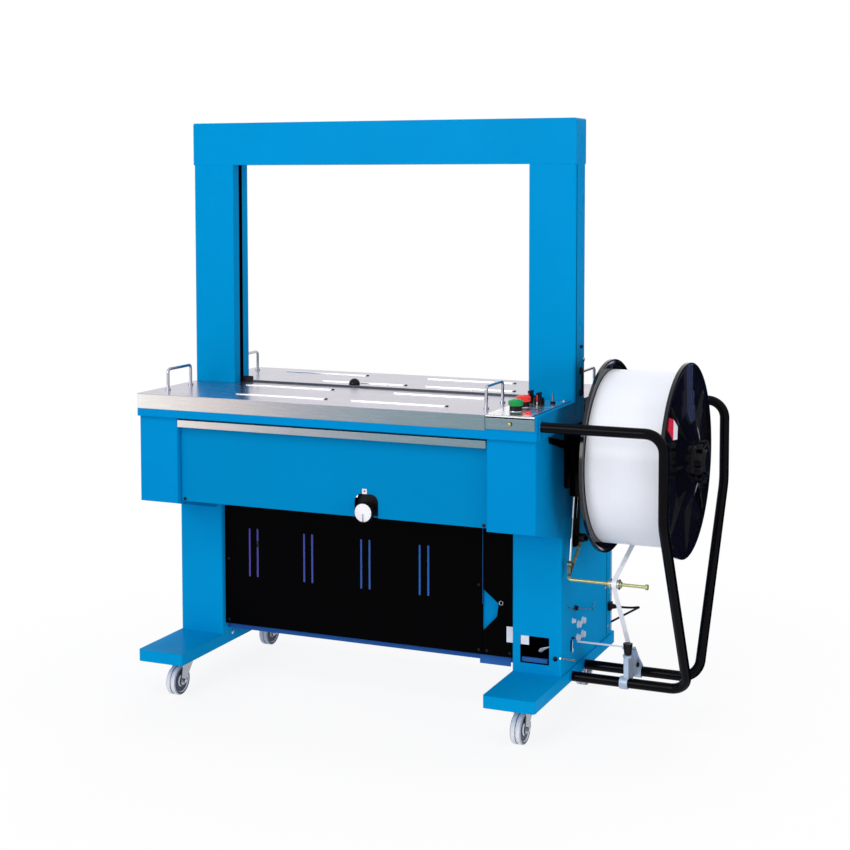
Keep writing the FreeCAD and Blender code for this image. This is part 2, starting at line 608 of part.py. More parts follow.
def dancer_arm():
    # bent rod: hub at the top, kick forward, long roller leg along the reel
    x = BODY_X + 19
    hub = ring(x - 6, DANCER_Y, DANCER_Z, "x", 11, 5.1, 14)
    start = (x, DANCER_Y - 8, DANCER_Z - 6)
    arm = rod([start, (x, ROD_Y, ROD_Z), (ROD_END, ROD_Y, ROD_Z)], 4, 10)
    y, z = SPRING_Y - 3, SPRING_Z - 8
    lug = fuse(cyl(x - 5, y, z, "x", 7, 12), box(x - 4, x + 4, y - 4, y + 6, z - 24, z))
    lug = lug.cut(cyl(x - 6, y, z, "x", 2, 14))
    end = cyl(ROD_END - 6, ROD_Y, ROD_Z, "x", 7, 6)
    stops = [ring(a, ROD_Y, ROD_Z, "x", 8, 4, 4) for a in (ROLLER_X - 16 - GAP, ROLLER_X + 12 + GAP)]
    arm = arm.cut(cyl(x - 8, DANCER_Y, DANCER_Z, "x", 5.1, 30))
    return fuse(hub, arm, lug, end, *stops)


def dancer_roller():
    rim = ROLLER_R + 2
    return revolve_x([(0, 4.1), (0, rim), (3, rim), (3, ROLLER_R), (21, ROLLER_R), (21, rim), (24, rim), (24, 4.1)],
                     ROLLER_X - 12, ROD_Y, ROD_Z)


def reel_flange_left():
    # inner flange on its hub, with the winding core bolted to one side and the brake drum to the other
    x0 = REEL_X0
    rim = revolve_x([(0, REEL_R - 12), (0, REEL_R), (8, REEL_R), (8, REEL_R - 4), (4, REEL_R - 12)], x0, 0, REEL_Z)
    dish = ring(x0 + 1, 0, REEL_Z, "x", REEL_R - 11, ARBOR_R + 5, 4)
    web = ring(x0 + 5, 0, REEL_Z, "x", CORE_R - 6 - GAP, ARBOR_R + 5, 2)
    hub = ring(x0 - 14, 0, REEL_Z, "x", ARBOR_R + 13, ARBOR_R + RUN_FIT, 60)
    seat = ring(x0 - 4, 0, REEL_Z, "x", DRUM_R, DRUM_R - 6, 6)
    ribs = around_x(box(x0 - 4, x0 + 2, -3, 3, REEL_Z + DRUM_R - 3, REEL_Z + REEL_R - 12), 8, 0, REEL_Z)
    flange = fuse(rim, dish, web, hub, seat, *ribs)
    core = ring(x0 + 5, 0, REEL_Z, "x", CORE_R - GAP, CORE_R - 6, REEL_W - 13)
    drum = ring(BODY_X + 10, 0, REEL_Z, "x", DRUM_R, DRUM_R - 6, x0 - 4 - BODY_X - 10)
    return [flange, core, drum]


def reel_flange_right():
    # outer flange: shallow cone with a rolled rim, eight facets' ribs and the clamp bar
    x1 = REEL_X1
    prof = [(-8, REEL_R), (-8, REEL_R - 6), (-5, REEL_R - 14), (-5, CORE_R + 2), (-5, ARBOR_R + 22), (20, ARBOR_R + 22),
            (20, ARBOR_R + 46), (1, CORE_R + 24), (-1, REEL_R - 16), (1, REEL_R - 6), (1, REEL_R)]
    s = revolve_x(prof, x1, 0, REEL_Z)
    hub = ring(x1 - 6, 0, REEL_Z, "x", ARBOR_R + 23, ARBOR_R + RUN_FIT, 30)
    sleeve = ring(x1 + 24, 0, REEL_Z, "x", SLEEVE_R, ARBOR_R + RUN_FIT, 14)
    ribs = around_x(prism([(x1 - 2, REEL_Z + CORE_R - 40), (x1 + 14, REEL_Z + 60), (x1 + 2, REEL_Z + REEL_R - 30),
                           (x1 - 2, REEL_Z + REEL_R - 18)], "y", -2.5, 5), 8, 0, REEL_Z)
    bar = fuse(box(x1 - 2, x1 + 7, -13, 13, REEL_Z + 100, REEL_Z + REEL_R - 4),
               box(x1 - 2, x1 + 11, -13, 13, REEL_Z + 100, REEL_Z + 172),
               box(x1 - 2, x1 + 14, -13, 13, REEL_Z + 92, REEL_Z + 135))
    return fuse(s, hub, sleeve, bar, *ribs[1:])


def reel_nut():
    # hand nut with ten lugs on the sleeve of the outer flange
    x0 = REEL_X1 + 24 + GAP
    face = NUT_X1
    s = ring(x0, 0, REEL_Z, "x", 40, SLEEVE_R + GAP, face - x0 - 4)
    cap = cyl(face - 12 + GAP, 0, REEL_Z, "x", 30, 12 - GAP)
    lug = rounded(-9, 9, REEL_Z + 34, REEL_Z + 53, 4, "x", x0 + 4, face - x0 - 10)
    return fuse(s, cap, *around_x(lug, 10, 0, REEL_Z))


def route_radii(points, radii):
    # like route, with one radius for each corner
    pts = [V(*p) for p in points]
    edges, at = [], pts[0]
    for (a, b, c), r in zip(zip(pts, pts[1:], pts[2:]), radii):
        u, w = a - b, c - b
        u.normalize()
        w.normalize()
        half = (pi - acos(max(-1, min(1, u.dot(w))))) / 2
        t = r * tan(half)
        m = u + w
        m.normalize()
        mid = b + m * (r / cos(half) - r)
        edges += [Part.LineSegment(at, b + u * t).toShape(), Part.Arc(b + u * t, mid, b + w * t).toShape()]
        at = b + w * t
    edges.append(Part.LineSegment(at, pts[-1]).toShape())
    return Part.Wire(edges)


def guard_tube(side):
    # bent tube: forward from the collar, down past the reel, back in to the foot
    yl = GUARD_MID + side * GUARD_LOW_Y
    z_low = FOOT_BOT + FOOT_H / 2
    x0 = HALF + GAP + GUARD_PLATE_T
    pts = [(x0, side * GUARD_Y, GUARD_Z), (GUARD_X, side * GUARD_Y, GUARD_Z),
           (GUARD_X, side * GUARD_Y, REEL_Z - 101), (GUARD_X, yl, z_low), (HALF, yl, z_low)]
    tube = sweep(route_radii(pts, (44, 80, 44)), pts[0], (1, 0, 0), TUBE_R)
    half = TUBE_R + 0.5
    plate = rounded(side * GUARD_Y - half, side * GUARD_Y + half, COLLAR_BOT, GUARD_Z + 18, 5, "x",
                    x0 - GUARD_PLATE_T, GUARD_PLATE_T)
    return fuse(plate, tube)


GUARD_PLATE_T = 4.0
GUARD_MID = -10.0
GUIDE_X = REEL_X0 + 66
GUIDE_Z = FOOT_BOT + FOOT_H / 2        # axis of the guard's bottom runs


def guide_bracket():
    # cast strap guide clamped round both bottom runs of the guard
    z = GUIDE_Z
    y0, y1 = GUARD_MID - GUARD_LOW_Y, GUARD_MID + GUARD_LOW_Y
    clamps = [cyl(GUIDE_X - 13, y, z, "x", 20, 26) for y in (y0, y1)]
    ears = [box(GUIDE_X - 9, GUIDE_X + 9, y - 5, y + 5, z - 27, z - 18) for y in (y0, y1)]
    bridge = prism([(y0, z + 8), (y1, z + 8), (y1, z + 18), (12, z + 52), (12, z + 60), (-44, z + 60), (-44, z + 52),
                    (y0, z + 18)], "x", GUIDE_X - 5, 10)
    # hollow strap guide head with an inlet on top and an outlet on the left, and a ledge for the knob
    head = box(GUIDE_X - 18, GUIDE_X + 10, -46, 12, z + 56, z + 92)
    head = head.cut(box(GUIDE_X - 15, GUIDE_X + 7, -44, 8, z + 62, z + 93))
    outlet = STRAP_IN_Z - GAP
    head = head.cut(box(GUIDE_X - 20, GUIDE_X - 14, SLOT_Y - 7, SLOT_Y + 7, outlet, outlet + 5))
    ledge = box(GUIDE_X - 8, GUIDE_X + 16, -72, -45, z + 56, z + 64)
    s = fuse(bridge, head, ledge, *(clamps + ears))
    for y in (y0, y1):
        s = s.cut(cyl(GUIDE_X - 14, y, z, "x", TUBE_R + 0.05, 28))
        s = s.cut(box(GUIDE_X - 14, GUIDE_X + 14, y - 1, y + 1, z - 28, z - TUBE_R + 1))
    return s


KNOB = (GUIDE_X + 4.0, -60.0)


def guide_knob():
    # fluted clamping knob on the ledge of the strap guide
    z = GUIDE_Z + 64 + GAP
    x, y = KNOB
    body = Part.makeCone(9, 12, 26, V(x, y, z + 8))
    cuts = [cyl(x + 13.5 * cos(a), y + 13.5 * sin(a), z + 5, "z", 3.5, 32) for a in (radians(60 * i) for i in range(6))]
    return fuse(cut(body, *cuts), cyl(x, y, z, "z", 5, 10))


def strap_coil():
    return ring(REEL_X0 + 6 + GAP, 0, REEL_Z, "x", COIL_R, CORE_R, REEL_W - 14 - 2 * GAP)


def strap_run():
    # strap from the underside of the coil, over and round the dancer roller and down into the guide;
    # then from the guide's outlet into the machine
    r1, r2 = COIL_R + GAP + STRAP_T / 2, ROLLER_R + GAP + STRAP_T / 2
    x0 = ROLLER_X - STRAP_W / 2
    dy, dz = -ROD_Y, REEL_Z - ROD_Z
    slope = atan2(dz, dy) - asin((r1 + r2) / hypot(dy, dz))
    end = V(x0, -8, GUIDE_Z + 72)
    down = V(0, end.y - ROD_Y, end.z - ROD_Z)
    arrive = slope + pi / 2
    leave = atan2(down.z, down.y) - acos(r2 / down.Length) + 2 * pi

    def spot(y, z, r, angle):
        return V(x0, y + r * cos(angle), z + r * sin(angle))

    def side(offset):
        r = r2 + offset
        a, b, c = (spot(ROD_Y, ROD_Z, r, t) for t in (arrive, (arrive + leave) / 2, leave))
        return spot(0, REEL_Z, r1 - offset, slope - pi / 2), a, b, c, end + V(0, cos(leave), sin(leave)) * offset
    s1, a1, b1, c1, e1 = side(STRAP_T / 2)
    s2, a2, b2, c2, e2 = side(-STRAP_T / 2)
    edges = [Part.LineSegment(s1, a1), Part.Arc(a1, b1, c1), Part.LineSegment(c1, e1), Part.LineSegment(e1, e2),
             Part.LineSegment(e2, c2), Part.Arc(c2, b2, a2), Part.LineSegment(a2, s2), Part.LineSegment(s2, s1)]
    upper = Part.Face(Part.Wire([e.toShape() for e in edges])).extrude(V(STRAP_W, 0, 0))
    lower = box(BODY_X - 12, GUIDE_X - 14, SLOT_Y - STRAP_W / 2, SLOT_Y + STRAP_W / 2, STRAP_IN_Z,
                STRAP_IN_Z + STRAP_T)
    return [upper, lower]


# ---------------------------------------------------------------- fasteners and power
def side_bolts():
    # hexagon bolts and the cover screws on the side of the right leg and the column
    out = []
    for y, h, r in ((41, 99, 8), (5, 98, 8), (-38, 118, 5), (39, 64, 8), (-1, 65, 8), (-20, 146, 6)):
        z = FOOT_TOP + h
        out.append(fuse(cyl(BODY_X, y, z, "x", r + 2, 1.5), cyl(BODY_X + 1.5, y, z, "x", r, 6)))
    out += [cyl(HALF, 0, TABLE_Z + h, "x", r, 6) for h, r in ((134, 4), (74, 8), (18, 8))]
    return out


CORD_IN = (268.0, 214.0)               # mains inlet in the side of the right leg
CORD_X = BODY_X + 28                   # end of its strain relief


def power_inlet():
    y, z = CORD_IN
    block = rounded(y - 12, y + 12, z - 11, z + 11, 3, "x", BODY_X, 8)
    relief = Part.makeCone(8, CORD_R + 0.6, CORD_X - BODY_X - 8, V(BODY_X + 8, y, z), V(1, 0, 0))
    return fuse(block, relief)


FLOOR = 0.3
BUNDLE = (348.0, 392.0)                # middle of the put-away coil behind the machine
BUNDLE_R = 33.0                        # its middle turn
BUNDLE_W, BUNDLE_H = 8 * CORD_R, 6 * CORD_R
BUNDLE_OUT = BUNDLE_R + BUNDLE_W / 2
TURN_OUT = BUNDLE_OUT - CORD_R         # outermost turn, where the cord comes in and leaves for the plug
BUNDLE_GATE = (BUNDLE_OUT ** 2 - (TURN_OUT - CORD_R) ** 2) ** 0.5 + 0.2

CORD = [(CORD_X, CORD_IN[0], CORD_IN[1]), (602, 268, 214), (622, 300, 211), (603, 335, 196), (556, 347, 166),
        (508, 350, 136), (467, 351, 100), (434, 351, 63), (407, 350.5, 30), (386, 350, 9),
        (BUNDLE[0] + BUNDLE_GATE, BUNDLE[1] - TURN_OUT, FLOOR + CORD_R)]


def power_cord():
    wire, radii = route(CORD)
    tube = sweep(wire, CORD[0], (1, 0, 0), CORD_R)
    print("cord radii mm", [round(r, 1) for r in radii])
    print("cord tube volume / section x length", round(tube.Volume / (pi * CORD_R ** 2 * wire.Length), 4))
    return tube


def cord_coil():
    # put-away bundle: flat ring of turns on the floor
    return ring(BUNDLE[0], BUNDLE[1], FLOOR, "z", BUNDLE_OUT, BUNDLE_OUT - BUNDLE_W, BUNDLE_H)


def cord_plug():
    # moulded two-pin plug that leaves the back of the bundle
    x, y, z = BUNDLE[0] + BUNDLE_GATE + 1, BUNDLE[1] + TURN_OUT, FLOOR + 13
    relief = Part.makeCone(CORD_R + 0.6, 7, 22, V(x, y, z), V(1, 0, 0))
    body = rounded(y - 18, y + 18, FLOOR, FLOOR + 26, 6, "x", x + 22, 30)
    pins = [cyl(x + 52, y + d, z, "x", 2.4, 19) for d in (-9.5, 9.5)]
    return fuse(relief, body, *pins)


# ---------------------------------------------------------------- casters
CASTER_X = (LEG_IN + HALF) / 2


def caster_fork(cx, cy):
    # swivel head with its ball race, two cheeks that trail back to the axle
    z1 = FOOT_BOT
    head = cyl(cx, cy, z1 - GAP - 12, "z", 26, 12)
    wy = cy - CASTER_TRAIL
    side = prism([(cy + 18, z1 - 14), (cy - 22, z1 - 14), (wy - 11, WHEEL_R - 4), (wy - 6, WHEEL_R - 11),
                  (wy + 6, WHEEL_R - 11), (wy + 11, WHEEL_R - 4), (cy + 22, z1 - 30)], "x", cx + 14.5, 2.5)
    other = side.copy()
    other.translate(V(-31.5, 0, 0))
    crown = box(cx - 17, cx + 17, cy - 21, cy + 18, z1 - 16, z1 - 11)
    axle = cyl(cx - 21, wy, WHEEL_R, "x", 5, 42)
    return fuse(head, crown, side, other, axle)


def caster_wheel(cx, cy):
    wy = cy - CASTER_TRAIL
    half = 14.0
    prof = [(-half, 5.1), (-half, 14), (-half + 3, 16), (-half + 3, WHEEL_R - 9), (-half, WHEEL_R - 7),
            (-half, WHEEL_R - 2.5), (-half + 2.5, WHEEL_R), (-1.5, WHEEL_R), (-1.5, WHEEL_R - 2), (1.5, WHEEL_R - 2),
            (1.5, WHEEL_R), (half - 2.5, WHEEL_R), (half, WHEEL_R - 2.5), (half, WHEEL_R - 7), (half - 3, WHEEL_R - 9),
            (half - 3, 16), (half, 14), (half, 5.1)]
    return revolve_x(prof, cx, wy, WHEEL_R)


# ---------------------------------------------------------------- build
save("right_foot", foot())
save("left_foot", mirror_x(foot()))
save("left_leg", mirror_x(leg_tube()))
save("right_leg", right_leg())
save("lower_rails", rail(COVER_Y + COVER_D, POOL_Y1 - COVER_Y - COVER_D), rail(BODY_REAR - 34, 30))
save("slotted_cover", slotted_cover())
save("end_cover", end_cover())
save("pool_box", pool_box())
save("body_left", body_left())
save("body_right", body_right())
save("body_pan", body_pan())
save("top_collar", top_collar())
save("arch_right_column", column())
save("arch_left_column", mirror_x(column()))
save("arch_beam", arch_beam())
save("strap_track", *strap_track())
save("front_table", front_table())
save("rear_table", rear_table())
save("front_handles", *[handle(x, TABLE_FRONT + 90, TABLE_FRONT + 200) for x in (38 - HALF, DOOR_R - 32)])
save("rear_handles", *[handle(x, TABLE_REAR - 175, TABLE_REAR - 65) for x in (38 - HALF, HALF - 38)])
save("ball_switch", ball_switch())
save("front_door", front_door())
save("door_strip", door_strip())
save("tension_dial", tension_dial())
save("control_panel", control_panel())
save("control_collars", *control_collars())
save("start_button", push_button(*GREEN))
save("stop_button", push_button(*RED))
save("selector_a", selector(*SEL_A))
save("selector_b", selector(*SEL_B))
save("toggle_lever", toggle_lever())
save("head_base", head_base())
save("cam_shaft", cam_shaft())
save("drive_motor", drive_motor())
save("reel_bracket", reel_bracket())
save("brake_lever", brake_lever())
save("brake_spring", brake_spring())
save("dancer_arm", dancer_arm())
save("dancer_roller", dancer_roller())
save("reel_flange_left", *reel_flange_left())
save("reel_flange_right", reel_flange_right())
save("reel_nut", reel_nut())
save("strap_coil", strap_coil())
save("strap_run", *strap_run())
save("guard_tubes", guard_tube(-1), guard_tube(1))
save("guide_bracket", guide_bracket())
save("guide_knob", guide_knob())
save("side_bolts", *side_bolts())
save("power_inlet", power_inlet())
save("power_cord", power_cord())
save("cord_coil", cord_coil())
save("cord_plug", cord_plug())
for side, sx in (("left", -1), ("right", 1)):
    for where, cy in zip(("front", "rear"), CASTER_Y):
        name = where + "_" + side
        save("caster_fork_" + name, caster_fork(sx * CASTER_X, cy))
        save("caster_wheel_" + name, caster_wheel(sx * CASTER_X, cy))
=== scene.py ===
from math import copysign, cos, pi, radians, sin

import bmesh
import bpy
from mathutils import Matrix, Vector


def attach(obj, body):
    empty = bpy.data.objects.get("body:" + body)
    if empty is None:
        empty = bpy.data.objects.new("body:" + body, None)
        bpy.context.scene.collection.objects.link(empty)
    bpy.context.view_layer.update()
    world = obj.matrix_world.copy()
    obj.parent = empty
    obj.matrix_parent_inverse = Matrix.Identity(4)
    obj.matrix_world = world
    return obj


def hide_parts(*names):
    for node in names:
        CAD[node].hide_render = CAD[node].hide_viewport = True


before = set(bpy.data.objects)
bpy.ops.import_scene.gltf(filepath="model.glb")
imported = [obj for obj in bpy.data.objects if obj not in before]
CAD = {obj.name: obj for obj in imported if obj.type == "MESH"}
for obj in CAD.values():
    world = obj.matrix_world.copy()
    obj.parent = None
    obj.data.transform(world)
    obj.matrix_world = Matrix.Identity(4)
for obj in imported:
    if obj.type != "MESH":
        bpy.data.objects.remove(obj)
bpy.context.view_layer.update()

# An automatic arch strapping machine: finishes for its CAD nodes, its cord, and the small pieces that are
# not among the nodes. Pieces are in millimetres of the CAD drawing; camera, materials and studio in metres.
MM = 1000  # millimetres in a metre
ZERO_X, ZERO_Y = -163.5, 9  # the drawing's zero in the row frame, in millimetres


def at(x, y, z):
    """A point of the CAD drawing, in millimetres, as metres in the row frame."""
    return Vector(((x + ZERO_X) / MM, (y + ZERO_Y) / MM, z / MM))


def linked(name, data):
    """A new object in the scene."""
    o = bpy.data.objects.new(name, data)
    bpy.context.scene.collection.objects.link(o)
    return o


# ------------------------------------------------------------------ camera
DOWN, TURNED = 3.629, 22.662  # degrees below the horizon, and round from straight ahead
eye = linked("camera", bpy.data.cameras.new("camera"))
eye.location = (1.61014, -3.74206, 1.35453)
eye.rotation_euler = (radians(90 - DOWN), 0, radians(TURNED))
eye.data.lens, eye.data.sensor_width = 66.93, 36
eye.data.shift_x, eye.data.shift_y = -0.03493, -0.16978
bpy.context.scene.camera = eye

# ------------------------------------------------------------------ materials
EVEN = (1, 1, 1)
BRUSHED = (0.03, 1, 1)  # noise drawn out along the lids
MASK_EDGE = 0.0004  # metres on each side of a round mask's edge


def srgb(r, g, b):
    """A colour as it shows, 0 to 255, as the linear one that a shader takes."""
    shown = (r / 255, g / 255, b / 255)
    return tuple(c / 12.92 if c <= 0.04045 else ((c + 0.055) / 1.055) ** 2.4 for c in shown) + (1,)


BLUE = srgb(0, 136, 198)  # the machine's enamel


class Finish:
    """A material whose colour, roughness and relief come from noise in the piece's own coordinates."""

    def __init__(self, name, colour, rough, metallic=0.0, specular=0.5):
        self.material = bpy.data.materials.new(name)
        self.material.use_nodes = True
        self.tree = self.material.node_tree
        self.tree.nodes.clear()
        self.shader = self.add("ShaderNodeBsdfPrincipled")
        self.out = self.add("ShaderNodeOutputMaterial")
        self.link(self.shader.outputs[0], self.out.inputs[0])
        self.coords = self.add("ShaderNodeTexCoord").outputs
        self.place = self.coords["Object"]
        self.rough = rough
        self.hue = colour
        self.height = None
        put = self.shader.inputs
        put["Base Color"].default_value = colour
        put["Roughness"].default_value = rough
        put["Metallic"].default_value = metallic
        put["Specular IOR Level"].default_value = specular

    def add(self, kind, **settings):
        """A node with those settings."""
        n = self.tree.nodes.new(kind)
        for k, v in settings.items():
            setattr(n, k, v)
        return n

    def link(self, a, b):
        """Output a into input b."""
        self.tree.links.new(a, b)

    def feed(self, value, socket):
        """A constant onto the socket, or another node's output into it."""
        if isinstance(value, bpy.types.NodeSocket):
            self.link(value, socket)
        else:
            socket.default_value = value

    def maths(self, operation, a, b):
        """Two values put together, and held between 0 and 1."""
        n = self.add("ShaderNodeMath", operation=operation, use_clamp=True)
        self.feed(a, n.inputs[0])
        self.feed(b, n.inputs[1])
        return n.outputs[0]

    def noise(self, scale, detail=3.0, stretch=EVEN):
        """Noise between 0 and 1, mostly near the middle."""
        m = self.add("ShaderNodeMapping")
        m.inputs["Scale"].default_value = stretch
        self.link(self.place, m.inputs["Vector"])
        n = self.add("ShaderNodeTexNoise")
        n.inputs["Scale"].default_value = scale
        n.inputs["Detail"].default_value = detail
        self.link(m.outputs[0], n.inputs["Vector"])
        return n.outputs["Fac"]

    def ranged(self, value, lo, hi, a=0.3, b=0.7):
        """The value's range a to b laid onto lo to hi, and held there beyond its ends."""
        n = self.add("ShaderNodeMapRange")
        for k, v in zip(("From Min", "From Max", "To Min", "To Max"), (a, b, lo, hi)):
            n.inputs[k].default_value = v
        self.link(value, n.inputs["Value"])
        return n.outputs["Result"]

    def mixed(self, share, a, b):
        """Colour a where the share is 0 and b where it is 1."""
        n = self.add("ShaderNodeMix", data_type="RGBA")
        share_in, a_in, b_in, colour_out = n.inputs[0], n.inputs[6], n.inputs[7], n.outputs[2]
        self.link(share, share_in)
        self.feed(a, a_in)
        self.feed(b, b_in)
        return colour_out

    def along(self, axis, a, b, source="Object"):
        """0 before a and 1 past b, in metres along one axis, or in the normal's share of it."""
        n = self.add("ShaderNodeSeparateXYZ")
        self.link(self.coords[source], n.inputs[0])
        return self.ranged(n.outputs["XYZ".index(axis)], 0, 1, a, b)

    def near(self, x, y, z, r):
        """1 inside a ball round a point of the drawing, 0 outside it."""
        n = self.add("ShaderNodeVectorMath", operation="DISTANCE")
        self.link(self.place, n.inputs[0])
        n.inputs[1].default_value = at(x, y, z)
        return self.ranged(n.outputs["Value"], 1, 0, r / MM - MASK_EDGE, r / MM + MASK_EDGE)

    def part(self, mask, colour):
        """Another colour where the mask is 1."""
        self.hue = self.mixed(mask, self.hue, colour)
        self.link(self.hue, self.shader.inputs["Base Color"])
        return self

    def mottle(self, scale, amount):
        """The colour drifts a little lighter and darker."""
        drift = self.add("ShaderNodeHueSaturation")
        self.link(self.ranged(self.noise(scale), 1 - amount, 1 + amount), drift.inputs["Value"])
        self.feed(self.hue, drift.inputs["Color"])
        self.hue = drift.outputs[0]
        self.link(self.hue, self.shader.inputs["Base Color"])
        return self

    def gloss(self, scale, spread, stretch=EVEN):
        """The roughness drifts round its own value."""
        low, high = max(0.02, self.rough - spread), self.rough + spread
        self.link(self.ranged(self.noise(scale, 4.0, stretch), low, high), self.shader.inputs["Roughness"])
        return self

    def rounded(self, metres):
        """Edges that catch the light, as folded sheet and mouldings do."""
        n = self.add("ShaderNodeBevel", samples=4)
        n.inputs["Radius"].default_value = metres
        self.height = n.outputs[0]
        self.link(self.height, self.shader.inputs["Normal"])
        return self

    def relief(self, scale, depth, stretch=EVEN):
        """A bump of that many metres, laid over the last one."""
        b = self.add("ShaderNodeBump")
        b.inputs["Distance"].default_value = depth
        self.link(self.noise(scale, 2.0, stretch), b.inputs["Height"])
        if self.height:
            self.link(self.height, b.inputs["Normal"])
        self.height = b.outputs["Normal"]
        self.link(self.height, self.shader.inputs["Normal"])
        return self


def paint(name, colour, rough=0.36, specular=0.01):
    """Powder coat: a fine orange peel over slow waves."""
    f = Finish(name, colour, rough, specular=specular)
    f.mottle(3, 0.03).gloss(14, 0.06).rounded(0.0012)
    return f.relief(420, 0.00004).relief(30, 0.00015)


def metal(name, colour, rough, grain=900, depth=0.00001):
    """Bare or plated metal with a fine grain."""
    f = Finish(name, colour, rough, metallic=1.0)
    return f.mottle(9, 0.06).gloss(grain / 3, rough * 0.4).rounded(0.0008).relief(grain, depth)


def plastic(name, colour, rough=0.4, specular=0.3, grain=1500, depth=0.00003):
    """A moulding, or a label, with a fine texture."""
    f = Finish(name, colour, rough, specular=specular)
    return f.mottle(25, 0.04).gloss(60, 0.06).rounded(0.0008).relief(grain, depth)


def sheet():
    """Brushed stainless lids; painted highlight on the rib tops, painted reflection on the skirts from warm
    white to greenish grey.
    """
    f = Finish("stainless_sheet", srgb(186, 181, 195), 0.24, metallic=1.0)
    rib_highlight_foot, skirt_top = (0.80615, 0.8063), (0.8040, 0.8048)
    # painted highlight: the raised ribs above this height are near-white
    f.part(f.along("Z", *rib_highlight_foot), srgb(250, 250, 252))
    # painted reflection on the folded skirts: warm white at the left, greenish grey to the right
    skirt = srgb(242, 238, 234)
    for left, right, reflected_tone in ((-0.71, -0.5, (210, 202, 200)), (-0.5, -0.25, (164, 166, 173)),
                              (-0.25, 0.0, (134, 149, 158)), (0.0, 0.4, (114, 138, 146))):
        skirt = f.mixed(f.along("X", left, right), skirt, srgb(*reflected_tone))
    f.part(f.maths("SUBTRACT", 1.0, f.along("Z", *skirt_top)), skirt)
    return f.mottle(7, 0.04).gloss(500, 0.08, BRUSHED).rounded(0.001).relief(1400, 0.000004, BRUSHED)


def tyre():
    """Pale tread, dark blue-grey cheeks: the cheeks are the faces across the axle."""
    f = plastic("tyre_grey", srgb(236, 240, 246), rough=0.5, grain=900, depth=0.00008)
    side = f.maths("ADD", f.along("X", 0.6, 0.8, "Normal"), f.along("X", -0.6, -0.8, "Normal"))
    return f.part(side, srgb(52, 62, 78))


def tubes():
    """Gloss black tubes; their seats, up to the cabinet's side, have its blue."""
    f = Finish("black_tube", srgb(4, 4, 8), 0.1, specular=0.07)
    seats = f.along("X", 0.38925, 0.3891)
    return f.part(seats, BLUE).mottle(20, 0.04).gloss(40, 0.05).relief(300, 0.00004)


def reel():
    """Gloss black mouldings; the upper half of the outer flange's clamp bar carries a painted blue-grey
    reflection.
    """
    f = plastic("reel_moulding", srgb(6, 7, 12), rough=0.13, specular=0.45, grain=500)
    bar = f.maths("MULTIPLY", f.along("Y", -0.0048, -0.0043), f.along("Y", 0.0228, 0.0223))
    # painted reflection: blue-grey on the clamp bar's upper half only
    return f.part(f.maths("MULTIPLY", bar, f.along("Z", 0.768, 0.771)), srgb(46, 56, 88))


def bolts():
    """Near-white bolts on the leg, their colour a painted highlight; black ones up the column and one at
    the wire hook.
    """
    # painted highlight: the leg bolts' near-white base stands in for their shine
    f = Finish("bolt_heads_painted_highlight", srgb(236, 240, 246), 0.2, metallic=0.15)
    column, hook = f.along("Z", 0.70, 0.71), f.near(547, -20, 281, 12)
    f.part(column, srgb(26, 24, 34)).part(hook, srgb(20, 20, 24))
    return f.mottle(30, 0.05).gloss(200, 0.05).rounded(0.0006)


def dancer():
    """Yellow passivated rod with a dark hub and a greenish eye."""
    f = Finish("yellow_passivate", srgb(176, 176, 122), 0.26, metallic=0.55)
    hub, rod_eye = f.near(563, -24, 463, 17), f.near(563, -120, 412, 24)
    f.part(hub, srgb(46, 44, 40)).part(rod_eye, srgb(96, 104, 92))
    return f.mottle(12, 0.06).gloss(60, 0.06).rounded(0.0006)


def coil():
    """White strap wound in flat turns: fine lines run round it."""
    f = Finish("strap_wound", srgb(236, 240, 244), 0.34, specular=0.3)
    f.mottle(9, 0.025).gloss(60, 0.06)
    return f.relief(330, 0.0003, (1, 0.02, 0.02)).relief(90, 0.0002, (1, 0.05, 0.05)).relief(40, 0.0002)


LOOKS = {
    "blue_paint": paint("blue_enamel", BLUE),
    # painted light: the arch gets a lighter copy of the machine's blue enamel
    "arch_paint": paint("arch_enamel_painted_light", srgb(0, 143, 203), rough=0.3),
    "black_paint": paint("black_enamel", srgb(1, 1, 2), rough=0.5, specular=0.02),
    "gloss_black": tubes(),
    "reel_black": reel(),
    "stainless": sheet(),
    "chrome": metal("chrome_plate", srgb(186, 190, 200), 0.09, depth=0.000002),
    "zinc": metal("zinc_plate", srgb(168, 172, 178), 0.32, grain=700, depth=0.00002),
    "yellow_zinc": dancer(),
    "steel": metal("machined_steel", srgb(150, 152, 158), 0.3),
    "machine_grey": paint("grey_enamel", srgb(104, 110, 118), rough=0.45),
    "cast_aluminium": metal("sand_cast", srgb(164, 176, 190), 0.36, grain=420, depth=0.00010),
    "strap_white": coil(),
    "wheel_grey": tyre(),
    "green": plastic("button_green", srgb(14, 150, 70), rough=0.22),
    "red": plastic("button_red", srgb(238, 58, 44), rough=0.22),
    "black_plastic": plastic("moulding_black", srgb(14, 14, 17), specular=0.2),
    "white_plastic": plastic("moulding_white", srgb(238, 238, 240), rough=0.35),
    "cord_black": plastic("cord_jacket", srgb(14, 14, 17), rough=0.5, specular=0.2, grain=2600,
                          depth=0.00005),
}
for node in CAD.values():
    for held in node.material_slots:
        packed = held.material.name.split(".")[0] if held.material else None
        if packed in LOOKS:
            held.material = LOOKS[packed].material

